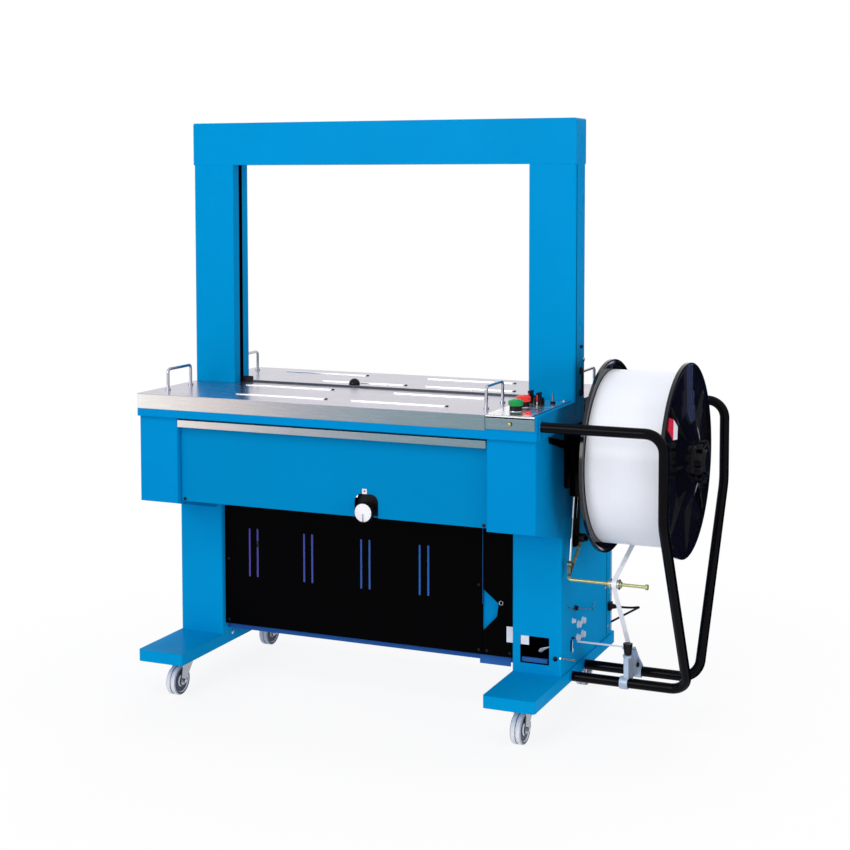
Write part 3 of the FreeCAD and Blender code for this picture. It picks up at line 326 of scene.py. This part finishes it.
# CAD nodes whose finish differs from that of their slot
# painted light: the legs and feet get a lighter copy of the machine's blue enamel
LIT_LEG_PAINT = paint("leg_enamel_painted_light", srgb(0, 147, 206))
NODE_LOOKS = {
    "side_bolts": bolts(),
    # painted shade: the door gets a darker copy of the blue enamel
    "front_door": paint("door_enamel_painted_shade", srgb(0, 131, 187)),
    "left_leg": LIT_LEG_PAINT,
    "right_leg": LIT_LEG_PAINT,
    "left_foot": LIT_LEG_PAINT,
    "right_foot": LIT_LEG_PAINT,
    # painted shade: the lower rails get a darker, violet copy of the blue enamel, as they look in the
    # cabinet's shadow
    "lower_rails": paint("rail_enamel_painted_shade", srgb(40, 92, 164)),
    "strap_run": plastic("strap_band", srgb(244, 246, 249), rough=0.3),
    "ball_switch": plastic("ball_black", srgb(9, 9, 12), rough=0.08, specular=0.2),
    "tension_dial": LOOKS["black_plastic"],
}
for name, look in NODE_LOOKS.items():
    for held in CAD[name].material_slots:
        held.material = look.material


def of_slot(slot):
    """The dress of a new piece: a finish and the slot it stands for, here the slot's own finish."""
    return LOOKS[slot], slot


DARK = of_slot("black_plastic")
BRIGHT = of_slot("chrome")
ZINC = of_slot("zinc")
WHITE = of_slot("white_plastic")
ENAMEL = of_slot("blue_paint")
STAINLESS = of_slot("stainless")
RED = of_slot("red")
CORD = of_slot("cord_black")
LABEL = plastic("label_white", srgb(232, 234, 240), rough=0.45)
BARE = LABEL, "white_plastic"  # where the photo has a label
RED_LABEL = plastic("label_red", srgb(216, 34, 66), rough=0.4), "red"
BRASS = metal("brass_screw", srgb(176, 168, 112), 0.3), "yellow_zinc"
# painted shade: near-black matte sheets set in gaps, grooves, seams, a hole and the window, where only
# shadow shows
SHADE_INSIDE = Finish("painted_shade_inside", srgb(3, 3, 4), 0.9, specular=0.0).mottle(30, 0.2), "black_plastic"
# painted shade: the grey of the strap slot between the lids
SLOT_SHADE = plastic("strip_grey", srgb(58, 66, 78), rough=0.35), "black_plastic"
# painted highlight: a stainless edge in near-white
LIP_HIGHLIGHT = LOOKS["white_plastic"], "stainless"
BLACK_STEEL = LOOKS["black_plastic"], "steel"
BARE_ZINC = LABEL, "zinc"
# painted shade: the blue enamel as it looks in shadow, for the cover slots, the rail, the seam and the
# window sill
blue_painted_shade = paint("blue_painted_shade", srgb(84, 78, 160), rough=0.4)  # violet at the left end, blue at the right
PAINTED_SHADE = blue_painted_shade.part(blue_painted_shade.along("X", -0.45, -0.05), srgb(50, 104, 176)), "blue_paint"
casting = Finish("guide_casting", srgb(172, 190, 210), 0.4, metallic=0.35).mottle(40, 0.14).gloss(200, 0.08)
CAST = casting.rounded(0.0006), "cast_aluminium"

# ------------------------------------------------------------------ mains cord
CORD_R = 3
ROUTE = [(572, 268, 214), (602, 268, 214), (622, 300, 211), (603, 335, 196), (556, 347, 166),
         (508, 350, 136), (467, 351, 100), (434, 351, 63), (407, 350.5, 30), (386, 350, 9),
         (370.65, 350, 3.3)]
TO_PLUG = [(360, 434, 14.2), (373, 434, 13.3)]
COIL_X, COIL_Y = 348, 392
# radius and height of each turn, and the angle at which it leaves for the next one
TURNS = [(42, 3.3), (36, 3.3), (30, 3.3), (24, 3.3), (24, 9.3), (30, 9.3), (30, 15.3), (36, 15.3),
         (36, 9.3), (42, 9.3), (42, 15.3)]
LEAVES = (315, 315, 315, 270, 225, 180, 135, 90, 45, 0)
CHANGE = 45  # degrees that a turn takes to reach the next one's place
WOUND = 9 * 360 + 180  # degrees in all
STEP = 22.5
TIE_X, TIE_HALF, TIE_STEPS = COIL_X - 33, 3, 48


def turn_place(k, angle):
    """Radius and height of turn k at that angle, on its way to the place of the next turn."""
    if k == len(LEAVES):
        return TURNS[k]
    t = min(1.0, max(0.0, (angle - LEAVES[k]) / CHANGE))
    (r0, z0), (r1, z1) = TURNS[k], TURNS[k + 1]
    return r0 + (r1 - r0) * t, z0 + (z1 - z0) * t


def wound():
    """The put-away turns, clockwise from the front of the coil; the last one ends at the back."""
    for i in range(int(WOUND / STEP)):
        k, angle = divmod((i + 0.5) * STEP, 360)
        r, z = turn_place(int(k), angle)
        r /= cos(radians(STEP / 2))
        yield COIL_X - r * sin(radians(angle)), COIL_Y - r * cos(radians(angle)), z


def placed(name, data, dress, body="frame"):
    """A new piece with its finish, in the body it moves with; the slot in the dress is not used."""
    look, slot = dress
    o = linked(name, data)
    data.materials.append(look.material)
    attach(o, body)
    return o


CURVE_DETAIL, ROUND_DETAIL = 5, 4  # Blender's resolutions along a wire and round it


def wire(name, points, radius, dress):
    """A round rod or lead along a smooth line through the middle of its corners."""
    curve = bpy.data.curves.new(name, "CURVE")
    curve.dimensions, curve.resolution_u = "3D", CURVE_DETAIL
    curve.bevel_depth, curve.bevel_resolution, curve.use_fill_caps = radius / MM, ROUND_DETAIL, True
    line = curve.splines.new("NURBS")
    line.points.add(len(points) - 1)
    for p, q in zip(line.points, points):
        p.co = (*at(*q), 1)
    line.order_u, line.use_endpoint_u = 3, True
    return placed(name, curve, dress)


def squared(v):
    """A sine or cosine drawn towards the corners of a square."""
    return copysign(abs(v) ** (1 / 3), v)


def tie():
    """A flat band round the coil's turns at its left side."""
    bm = bmesh.new()
    rows = []
    for z, half_x, half_z in ((9.66, 13.3, 9.6), (9.35, 12.4, 9.1)):
        for y in (COIL_Y - TIE_HALF, COIL_Y + TIE_HALF):
            rows.append([bm.verts.new(at(TIE_X + half_x * squared(cos(t)), y, z + half_z * squared(sin(t))))
                         for t in (2 * pi * i / TIE_STEPS for i in range(TIE_STEPS))])
    for p, q in ((0, 1), (1, 3), (3, 2), (2, 0)):
        for i in range(TIE_STEPS):
            j = (i + 1) % TIE_STEPS
            bm.faces.new((rows[p][i], rows[p][j], rows[q][j], rows[q][i]))
    bmesh.ops.recalc_face_normals(bm, faces=bm.faces)
    mesh = bpy.data.meshes.new("cord_tie")
    bm.to_mesh(mesh)
    bm.free()
    return placed("cord_tie", mesh, DARK)


cord = wire("power_flex", ROUTE + list(wound()) + TO_PLUG, CORD_R, CORD)
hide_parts("power_cord", "cord_coil")
tie()

# ------------------------------------------------------------------ how pieces are made
FRONT, RIGHT, LEFT, UP = (0, -1, 0), (1, 0, 0), (-1, 0, 0), (0, 0, 1)
AXES = {"x": ((0, 1, 0), (0, 0, 1), (1, 0, 0)), "y": ((1, 0, 0), (0, 0, 1), (0, 1, 0)),
        "z": ((1, 0, 0), (0, 1, 0), (0, 0, 1))}  # across, across, along
SHARP = radians(35)


def finished(name, bm, dress, body="frame", edge=0.0):
    """The mesh piece of a bmesh, with its small edge rounding in millimetres."""
    bmesh.ops.recalc_face_normals(bm, faces=bm.faces)
    mesh = bpy.data.meshes.new(name)
    bm.to_mesh(mesh)
    bm.free()
    mesh.shade_smooth()
    mesh.set_sharp_from_angle(angle=SHARP)
    o = placed(name, mesh, dress, body)
    if edge:
        b = o.modifiers.new("edge", "BEVEL")
        b.width, b.segments, b.limit_method, b.angle_limit = edge / MM, 2, "ANGLE", SHARP
        b.harden_normals = True
    return o


def prism(name, outline, axis, lo, hi, dress, body="frame", edge=0.4):
    """A plate or bar: an outline across the axis, from lo to hi along it."""
    u, v, w = (Vector(a) for a in AXES[axis])
    bm = bmesh.new()
    near, far = ([bm.verts.new(at(*(u * a + v * b + w * h))) for a, b in outline] for h in (lo, hi))
    bm.faces.new(near)
    bm.faces.new(far)
    for i, p in enumerate(near):
        j = (i + 1) % len(near)
        bm.faces.new((p, near[j], far[j], far[i]))
    return finished(name, bm, dress, body, edge)


def slab(name, x0, x1, y0, y1, z0, z1, dress, body="frame", edge=0.4):
    """A box between two corners."""
    return prism(name, [(x0, y0), (x1, y0), (x1, y1), (x0, y1)], "z", z0, z1, dress, body, edge)


def turned(name, profile, direction, spots, dress, body="frame", steps=32):
    """A turned piece: (height, radius) pairs along a direction, once at each spot."""
    w = Vector(direction).normalized()
    u = w.orthogonal().normalized()
    v = w.cross(u)
    bm = bmesh.new()
    for spot in spots:
        rings = []
        for h, r in profile:
            n = steps if r else 1
            rings.append([bm.verts.new(at(*(Vector(spot) + w * h + (u * cos(t) + v * sin(t)) * r)))
                          for t in (2 * pi * i / n for i in range(n))])
        for a, b in zip(rings, rings[1:]):
            for i in range(steps):
                j = (i + 1) % steps
                corners = [a[i % len(a)], a[j % len(a)], b[j % len(b)], b[i % len(b)]]
                bm.faces.new(list(dict.fromkeys(corners)))
    return finished(name, bm, dress, body)


def screw(r, h):
    """Profile of a domed screw head with its recess."""
    recess, floor_h = r * 0.45, h * 0.45
    return [(0, 0), (0, r), (h * 0.35, r), (h * 0.8, r * 0.82), (h, r * 0.55), (h, recess),
            (floor_h, recess * 0.85), (floor_h, 0)]


def nut(r, h):
    """Profile of a hexagonal head, to be turned in six steps."""
    return [(0, 0), (0, r), (h * 0.85, r), (h, r * 0.86), (h, 0)]


def punched(name, xs, ys, holes, z0, z1, dress):
    """A plate in the grid of xs by ys, without the cells in holes."""
    bm = bmesh.new()
    low, high = ([[bm.verts.new(at(x, y, z)) for y in ys] for x in xs] for z in (z0, z1))
    cells = [(i, j) for i in range(len(xs) - 1) for j in range(len(ys) - 1) if (i, j) not in holes]
    for i, j in cells:
        ring = ((i, j), (i + 1, j), (i + 1, j + 1), (i, j + 1))
        neighbours = ((i, j - 1), (i + 1, j), (i, j + 1), (i - 1, j))
        for grid in (low, high):
            bm.faces.new([grid[a][b] for a, b in ring])
        for k, (a, b) in enumerate(ring):
            c, d = ring[(k + 1) % 4]
            if neighbours[k] not in cells:
                bm.faces.new((low[a][b], low[c][d], high[c][d], high[a][b]))
    return finished(name, bm, dress)


# ------------------------------------------------------------------ control panel
PANEL_LEFT, PANEL_FRONT, PANEL_TOP = 421.5, -328.2, 807.2  # faces of the panel's skins
CABINET_TOP = 806.02  # a hair over the cabinet, which ends at 806
CAP_FOOT = 820.6
MARK_HALF, TICK_HALF = 1.6, 1.5  # half widths of a selector's mark and of the tick before it

punched("panel_skin", (PANEL_LEFT, 450, 458, 474, 482, 533.5), (PANEL_FRONT, -264, -240, -190, -166, -39),
        ((2, 1), (3, 1), (1, 3), (2, 3)), CABINET_TOP, PANEL_TOP, STAINLESS)
# painted highlight: the skin's folded lip is near-white
slab("panel_skin_lip", PANEL_LEFT, 544.5, PANEL_FRONT, -327.0, 802.6, PANEL_TOP, LIP_HIGHLIGHT)
# painted shade: a near-black strip in the gap under the skin's lip
slab("panel_gap", PANEL_LEFT, 544.0, -326.6, -325.2, 799.4, 802.7, SHADE_INSIDE, edge=0.0)
slab("panel_plate", PANEL_LEFT, 544.7, -327.2, -325.1, 772.6, 799.4, STAINLESS)
slab("panel_gasket", 533.6, 538.0, -325, -39, CABINET_TOP, 806.9, DARK)
turned("panel_screw", screw(4.2, 2.4), UP, [(520.8, -46, PANEL_TOP)], BRIGHT)
turned("panel_lens", [(0, 0), (0, 4.6), (1.2, 4.6), (2.2, 3.6), (2.8, 2.0), (2.9, 0)], FRONT,
       [(483, -328.4, 787)], BRASS)
turned("panel_red_lamp", [(0, 0), (0, 8), (2.0, 8), (3.6, 6.4), (4.6, 3.5), (4.9, 0)], UP,
       [(513, -281, PANEL_TOP)], RED)
for name, x, y, slot in (("start", 470, -252, "green"), ("stop", 462, -178, "red")):
    turned(name + "_skirt", [(5, 15.5), (0, 15.5), (0, 16.6), (2, 17.8), (5, 18.2), (5, 15.5)], UP,
           [(x, y, CAP_FOOT)], of_slot(slot), name)
    turned(name + "_base", [(0, 15.1), (0, 17), (1.4, 16.6), (1.4, 15.1), (0, 15.1)], UP,
           [(x, y, PANEL_TOP)], BRIGHT)
for name, body, x, y in (("selector_a", "selector_right", 482, -122),
                         ("selector_b", "selector_left", 450, -92)):
    slab(name + "_mark", x - MARK_HALF, x + MARK_HALF, y - 13.2, y + 2, 829.4, 830.8, RED, body)
    slab(name + "_end", x - MARK_HALF, x + MARK_HALF, y - 14.0, y - 13.0, 817.5, 830.6, RED, body)
    prism(name + "_tick", [(x - TICK_HALF, 808), (x + TICK_HALF, 808), (x + TICK_HALF, 815),
                           (x - TICK_HALF, 815)], "y", y - 14.7, y - 13.9, BARE)

# ------------------------------------------------------------------ tension dial
DIAL_X, DIAL_Z = 98, 545
DOTS_R, DOT_ANGLES = 17.5, [radians(-120 + 30 * i) for i in range(9)]

prism("dial_shroud", [(61, 531), (135, 531), (135, 560), (128, 580), (113, 593), (98, 596), (83, 593),
                      (68, 580), (61, 560)], "y", -284, -279, DARK)
turned("dial_face", [(0, 0), (0, 22.4), (0.4, 22.4), (0.8, 21.8), (0.8, 0)], FRONT,
       [(DIAL_X, -318.8, DIAL_Z)], WHITE, "dial", 48)
slab("dial_pointer", 96.7, 99.3, -320.4, -319.4, 525.5, 542, ZINC, "dial")
turned("dial_dots", [(0, 0), (0, 0.9), (0.25, 0.7), (0.25, 0)], FRONT,
       [(DIAL_X + DOTS_R * sin(a), -319.6, DIAL_Z + DOTS_R * cos(a)) for a in DOT_ANGLES], ZINC, "dial", 10)
slab("dial_tag", 86.8, 99.6, -300.9, -300.05, 587.6, 600.4, BARE, "door")
turned("dial_tag_dot", [(0, 0), (0, 2.6), (0.4, 2.4), (0.4, 0)], FRONT, [(93.6, -300.9, 594.6)],
       RED_LABEL, "door", 16)

# ------------------------------------------------------------------ covers between the legs
COVER_FRONT = -112
SLOTS_X, PAIR_X, STRIP_HALF = (-340, -176, -9, 157), (0, 24), 2.6  # the slots stand in pairs
WHOLE_SLOT, BROKEN_SLOT = ((297, 426),), ((297, 377), (394, 426))

# painted shade: the cover's slots show the wall behind them in the blue enamel's shade
for k, x in enumerate(SLOTS_X):
    for j, dx in enumerate(PAIR_X):
        for n, (z0, z1) in enumerate(BROKEN_SLOT if (k, j) == (0, 1) else WHOLE_SLOT):
            slab("slot_strip_%d%d%d" % (k, j, n), x + dx - STRIP_HALF, x + dx + STRIP_HALF, -111.5, -110.6,
                 z0, z1, PAINTED_SHADE)
prism("notch_plate", [(322, 190), (384, 190), (384, 345), (331.4, 345), (331.4, 500), (326, 500),
                      (326, 345), (322, 345)], "y", -106, -104, ENAMEL)
turned("catch_ring", [(0, 3.5), (0, 6.4), (0.9, 6.0), (1.5, 5.2), (0.9, 4.2), (0, 3.5)], FRONT,
       [(381, -114.6, 300)], BRIGHT, steps=28)
# painted shade: the catch's hole is a near-black disc
turned("catch_core", [(0, 0), (0, 3.3), (0.6, 3.0), (0.6, 0)], FRONT, [(381, -114.0, 300)], SHADE_INSIDE, steps=20)
slab("cover_plate", 395, 414.5, -113.0, -112.1, 202, 242, BARE)
# painted shade: the rail's front under the cover and the seam beside the notch plate
slab("rail_shade", 318, 402, -98.8, -98.05, 136, 163, PAINTED_SHADE)
slab("seam_strip", 330.15, 331.05, -112.5, -111.2, 292, 520, PAINTED_SHADE, edge=0.0)
turned("cover_screws", screw(3.6, 1.8), FRONT,
       [(x, COVER_FRONT, z) for x in (-404, 320) for z in (174, 340, 510)]
       + [(x, COVER_FRONT, z) for x in (342, 404) for z in (174, 510)], DARK, steps=16)

# ------------------------------------------------------------------ right leg
LEG_SIDE = 544
WINDOW_LINER = ((437, 513, -126.6, -60, 159.9, 160.9), (437, 513, -126.6, -60, 228.2, 229.2),
                (436.4, 437.4, -126.6, -60, 160, 229), (512.6, 513.6, -126.6, -60, 160, 229),
                (437, 513, -61, -60, 160, 229))

# painted shade: a near-black liner inside the window, and the sill below in the blue enamel's shade
for i, box in enumerate(WINDOW_LINER):
    slab("window_liner_%d" % i, *box, SHADE_INSIDE, edge=0.0)
slab("window_sill", 438, 506, -120, -112, 161, 171.5, PAINTED_SHADE)
slab("window_plate", 438.0, 459.8, -127.0, -125.8, 206, 229, BARE)
prism("window_lever", [(482, 191), (490, 188.5), (499, 196), (512, 203.5), (512, 206.5), (498, 203),
                       (486, 199)], "y", -122, -117, ZINC, edge=1.2)
turned("leg_plug", [(0, 0), (0, 6.4), (1.2, 6.2), (2.6, 4.6), (3.4, 2.2), (3.5, 0)], FRONT,
       [(529.2, -128, 179.1)], DARK, steps=20)
wire("leg_link", [(546.6, -141, 186), (546.6, -90, 169), (546.6, -28, 149)], 2.0, BRIGHT)
wire("leg_hook", [(546.5, -86, 303), (547.0, -60, 284), (547.5, -20, 279), (547.5, 40, 263),
                  (547.5, 104, 247)], 1.2, ZINC)
wire("leg_hook_tip", [(547.5, 132, 258), (547.5, 106, 246.5), (547.5, 134, 237)], 1.2, ZINC)
turned("leg_hook_bolt", nut(6.5, 4.5), RIGHT, [(544.2, -14, 279)], DARK, steps=6)
# painted shade: a near-black strip in the slot beside the strap shield
slab("strap_shield_slot", 544.1, 546.4, -55, -49.5, 178, 207, SHADE_INSIDE, edge=0.0)
slab("strap_shield", 544.1, 548.4, -49.5, -43.8, 176, 205, BARE_ZINC, edge=0.8)
slab("strap_shield_top", 544.1, 548.6, -52, -26, 204.5, 207.8, BRIGHT, edge=0.8)
# painted shade: a near-black strip in the seam at the leg's rear
slab("rear_seam", 544.02, 544.5, 246.6, 248.6, 139, 522, SHADE_INSIDE, edge=0.0)
slab("rear_seam_edge", 544.02, 545.2, 289.0, 291.5, 139, 522, ENAMEL)
turned("seam_screws", screw(4.6, 2.6), RIGHT,
       [(LEG_SIDE, y, z) for y, z in ((238, 270), (282, 246), (262, 500), (262, 160))], BRIGHT, steps=20)

# ------------------------------------------------------------------ strap guide casting
guide = prism("guide_web", [(-66, 126), (-60, 184), (-46, 184), (-46, 203), (-32, 204), (2, 168), (40, 136),
                            (46, 122), (36, 112), (20, 118), (-20, 124), (-48, 112)],
              "x", 691, 698, CAST, edge=1.2)
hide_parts("guide_bracket")
prism("guide_rib", [(-46, 203), (-32, 204), (2, 168), (40, 136), (38, 132), (0, 164), (-33, 200),
                    (-46, 199)], "x", 691, 706, CAST, edge=1.0)
prism("guide_post", [(-70, 130), (-54, 130), (-48, 184), (-72, 184)], "x", 686, 699, CAST, edge=2.0)
turned("guide_seat", [(0, 0), (0, 12), (5, 12), (5.7, 11), (5.7, 0)], UP, [(694, -60, 184)], CAST)
turned("guide_clamps", [(0, 12.6), (0, 15), (1, 16), (20, 16), (21, 15), (21, 12.6), (0, 12.6)], RIGHT,
       [(676, -62, 120), (681, 42, 120)], CAST)
slab("guide_shelf", 675, 691, -44, -30, 196.5, 200.7, CAST, edge=0.8)
turned("guide_bolt", nut(6, 5), RIGHT, [(698, 8, 146)], BLACK_STEEL)

# ------------------------------------------------------------------ lids, arch, door and feet
RIB_ENDS = {"front_lid": ((-112, -70), (322, -70), (-47, -235), (283, -235)),
            "rear_lid": ((28, 85), (339, 85), (-158, 235), (284, 235))}

# painted shade: a grey strip closes the strap slot between the lids
slab("gap_strip", -421, 423, -3, 3, 800, 810.4, SLOT_SHADE)
for lid, ends in RIB_ENDS.items():
    for n, (x, y) in enumerate(ends):
        slab("rib_end_%s_%d" % (lid, n), x - 0.5, x + 5.5, y - 3.6, y + 3.6, 806.0, 808.3, DARK, lid, 1.0)
slab("track_shoe", -422, -390, -3.2, 3.2, 800, 821, DARK, edge=1.0)
wire("column_bar", [(551.5, 3, 880), (552.5, 3, 866), (552.5, 3, 838), (551.5, 3, 824)], 2.6, DARK)
# painted shade: a near-black strip in the groove on the column's right side
slab("column_groove", 547.9, 548.12, -33.0, -30.6, 810, 1394, SHADE_INSIDE, edge=0.0)
turned("column_nut", screw(6, 3), RIGHT, [(548, 26, 905)], BRIGHT, steps=20)
turned("hinge_bushes", [(0, 0), (0, 4.6), (1.2, 4.4), (1.8, 3.2), (1.8, 0)], FRONT,
       [(-420, -300, 536), (408, -300, 536)], DARK, "door", 20)
turned("foot_screws", screw(5.5, 2.8), RIGHT, [(-416, -77, 128)], BRIGHT, steps=20)
turned("foot_screws_right", screw(5.5, 2.8), LEFT, [(416, -77, 128)], BRIGHT, steps=20)

# ------------------------------------------------------------------ reel labels and casters
SWIVEL_X, FRONT_Y, REAR_Y, TRAIL = 482, -222, 268, 25  # where the casters swivel, and the wheels' trail
CAP_X, AXLE_Z = 20.6, 37.5  # the cap beside the fork, at the wheel's axle

prism("reel_label_red", [(-178, 801), (-142, 792), (-146, 744), (-190, 774)], "x", 821.5, 826.2,
      RED_LABEL, "reel", edge=0.3)
prism("reel_label_white", [(-141, 791.5), (-104, 770), (-108, 740), (-145, 743.5)], "x", 821.5, 826.4,
      BARE, "reel", edge=0.3)
for side, x in (("left", -SWIVEL_X), ("right", SWIVEL_X)):
    for end, y in (("front", FRONT_Y), ("rear", REAR_Y)):
        turned("caster_cap_%s_%s" % (end, side), nut(6.2, 4.0), RIGHT, [(x + CAP_X, y - TRAIL, AXLE_Z)],
               BRIGHT, "fork_%s_%s" % (end, side), 6)

# ------------------------------------------------------------------ stage and light
# in metres from here on
FLOOR_R = 30
SHADOW_R, PLAIN_R = 0.8, 1.7  # the floor takes the shadow inside the first radius and none past the second
NEAR_WHITE = 0.88  # share of plain white inside the first; the rest takes the shadow
FLAG_LINE, FLAG_Z = [(0.8, 2.3), (2.2, 2.3), (4.0, 0.8)], 1.6
DARK_FLOOR, DARK_FLOOR_Z = [(0.44, 0.1), (0.44, 2.3), (2.2, 2.3), (4.0, 0.8), (3.6, -0.6)], 0.004
# colour and strength of the sky that lights the scene, and of the one that shows
DIM_SKY, WHITE_SKY = ((0.93, 0.89, 1, 1), 0.44), ((1, 1, 1, 1), 1.0)


def seen(tree):
    """1 for what shows, straight on, in a mirror or through glass, and 0 for what only sends light."""
    path = tree.nodes.new("ShaderNodeLightPath").outputs
    total = path["Is Camera Ray"]
    for kind in ("Is Glossy Ray", "Is Transmission Ray"):
        n = tree.nodes.new("ShaderNodeMath")
        n.operation, n.use_clamp = "ADD", True
        tree.links.new(total, n.inputs[0])
        tree.links.new(path[kind], n.inputs[1])
        total = n.outputs[0]
    return total


def stage_material():
    """White floor that shows the machine's shadow near it and is plain white further off."""
    f = Finish("studio_floor", srgb(246, 246, 248), 0.9, specular=0.1)
    f.mottle(0.7, 0.006)
    away = f.add("ShaderNodeVectorMath", operation="LENGTH")
    f.link(f.place, away.inputs[0])
    plain = f.ranged(away.outputs["Value"], NEAR_WHITE, 1, SHADOW_R, PLAIN_R)
    mix = f.add("ShaderNodeMixShader")
    f.link(f.maths("MULTIPLY", seen(f.tree), plain), mix.inputs[0])
    f.link(f.shader.outputs[0], mix.inputs[1])
    f.link(f.add("ShaderNodeEmission").outputs[0], mix.inputs[2])
    f.link(mix.outputs[0], f.out.inputs[0])
    return f.material


def staged(name, bm, material):
    """A mesh that belongs to the studio."""
    mesh = bpy.data.meshes.new(name)
    bm.to_mesh(mesh)
    bm.free()
    mesh.materials.append(material)
    return linked(name, mesh)


bm = bmesh.new()
bmesh.ops.create_circle(bm, cap_ends=True, segments=96, radius=FLOOR_R)
floor = staged("floor", bm, stage_material())

# a dark card behind the right end and a dark sheet on the floor beside it: only polished surfaces see them
bm = bmesh.new()
low, high = ([bm.verts.new((x, y, z)) for x, y in FLAG_LINE] for z in (0.0, FLAG_Z))
for i in (0, 1):
    bm.faces.new((low[i], low[i + 1], high[i + 1], high[i]))
bm.faces.new([bm.verts.new((x, y, DARK_FLOOR_Z)) for x, y in DARK_FLOOR])
flag = staged("flag", bm, Finish("flag_cloth", srgb(20, 24, 44), 0.9, specular=0.0).mottle(3, 0.1).material)
flag.visible_camera = flag.visible_diffuse = flag.visible_shadow = flag.visible_transmission = False

world = bpy.data.worlds.new("studio")
bpy.context.scene.world = world
world.use_nodes = True
tree = world.node_tree
tree.nodes.clear()
mix = tree.nodes.new("ShaderNodeMixShader")
tree.links.new(seen(tree), mix.inputs[0])
for socket, (colour, strength) in ((1, DIM_SKY), (2, WHITE_SKY)):
    sky = tree.nodes.new("ShaderNodeBackground")
    sky.inputs[0].default_value, sky.inputs[1].default_value = colour, strength
    tree.links.new(sky.outputs[0], mix.inputs[socket])
tree.links.new(mix.outputs[0], tree.nodes.new("ShaderNodeOutputWorld").inputs[0])


def softbox(name, place, target, size, watts, mirrored=False):
    """A rectangular lamp that faces its target; polished surfaces show it only if it is mirrored."""
    lamp = bpy.data.lights.new(name, "AREA")
    lamp.shape, lamp.size, lamp.size_y, lamp.energy = "RECTANGLE", size[0], size[1], watts
    o = linked(name, lamp)
    o.location, o.visible_glossy = place, mirrored
    o.rotation_euler = (Vector(target) - Vector(place)).to_track_quat("-Z", "Y").to_euler()


softbox("key", (-1.7, -4.6, 2.2), (-0.1, 0, 0.7), (2.2, 2.2), 66, True)
softbox("high", (0.3, -3.2, 4.2), (-0.1, -0.1, 0.4), (2.0, 2.0), 62)
softbox("fill", (4.0, -1.4, 0.9), (0.2, 0, 0.4), (1.2, 1.4), 42)
softbox("top", (0.2, 0.6, 4.4), (0, 0, 0.8), (2.4, 1.6), 46)
softbox("back", (-1.2, 4.6, 2.4), (0, 0, 0.7), (2.0, 2.0), 70)
bpy.context.scene.view_settings.view_transform = "Standard"
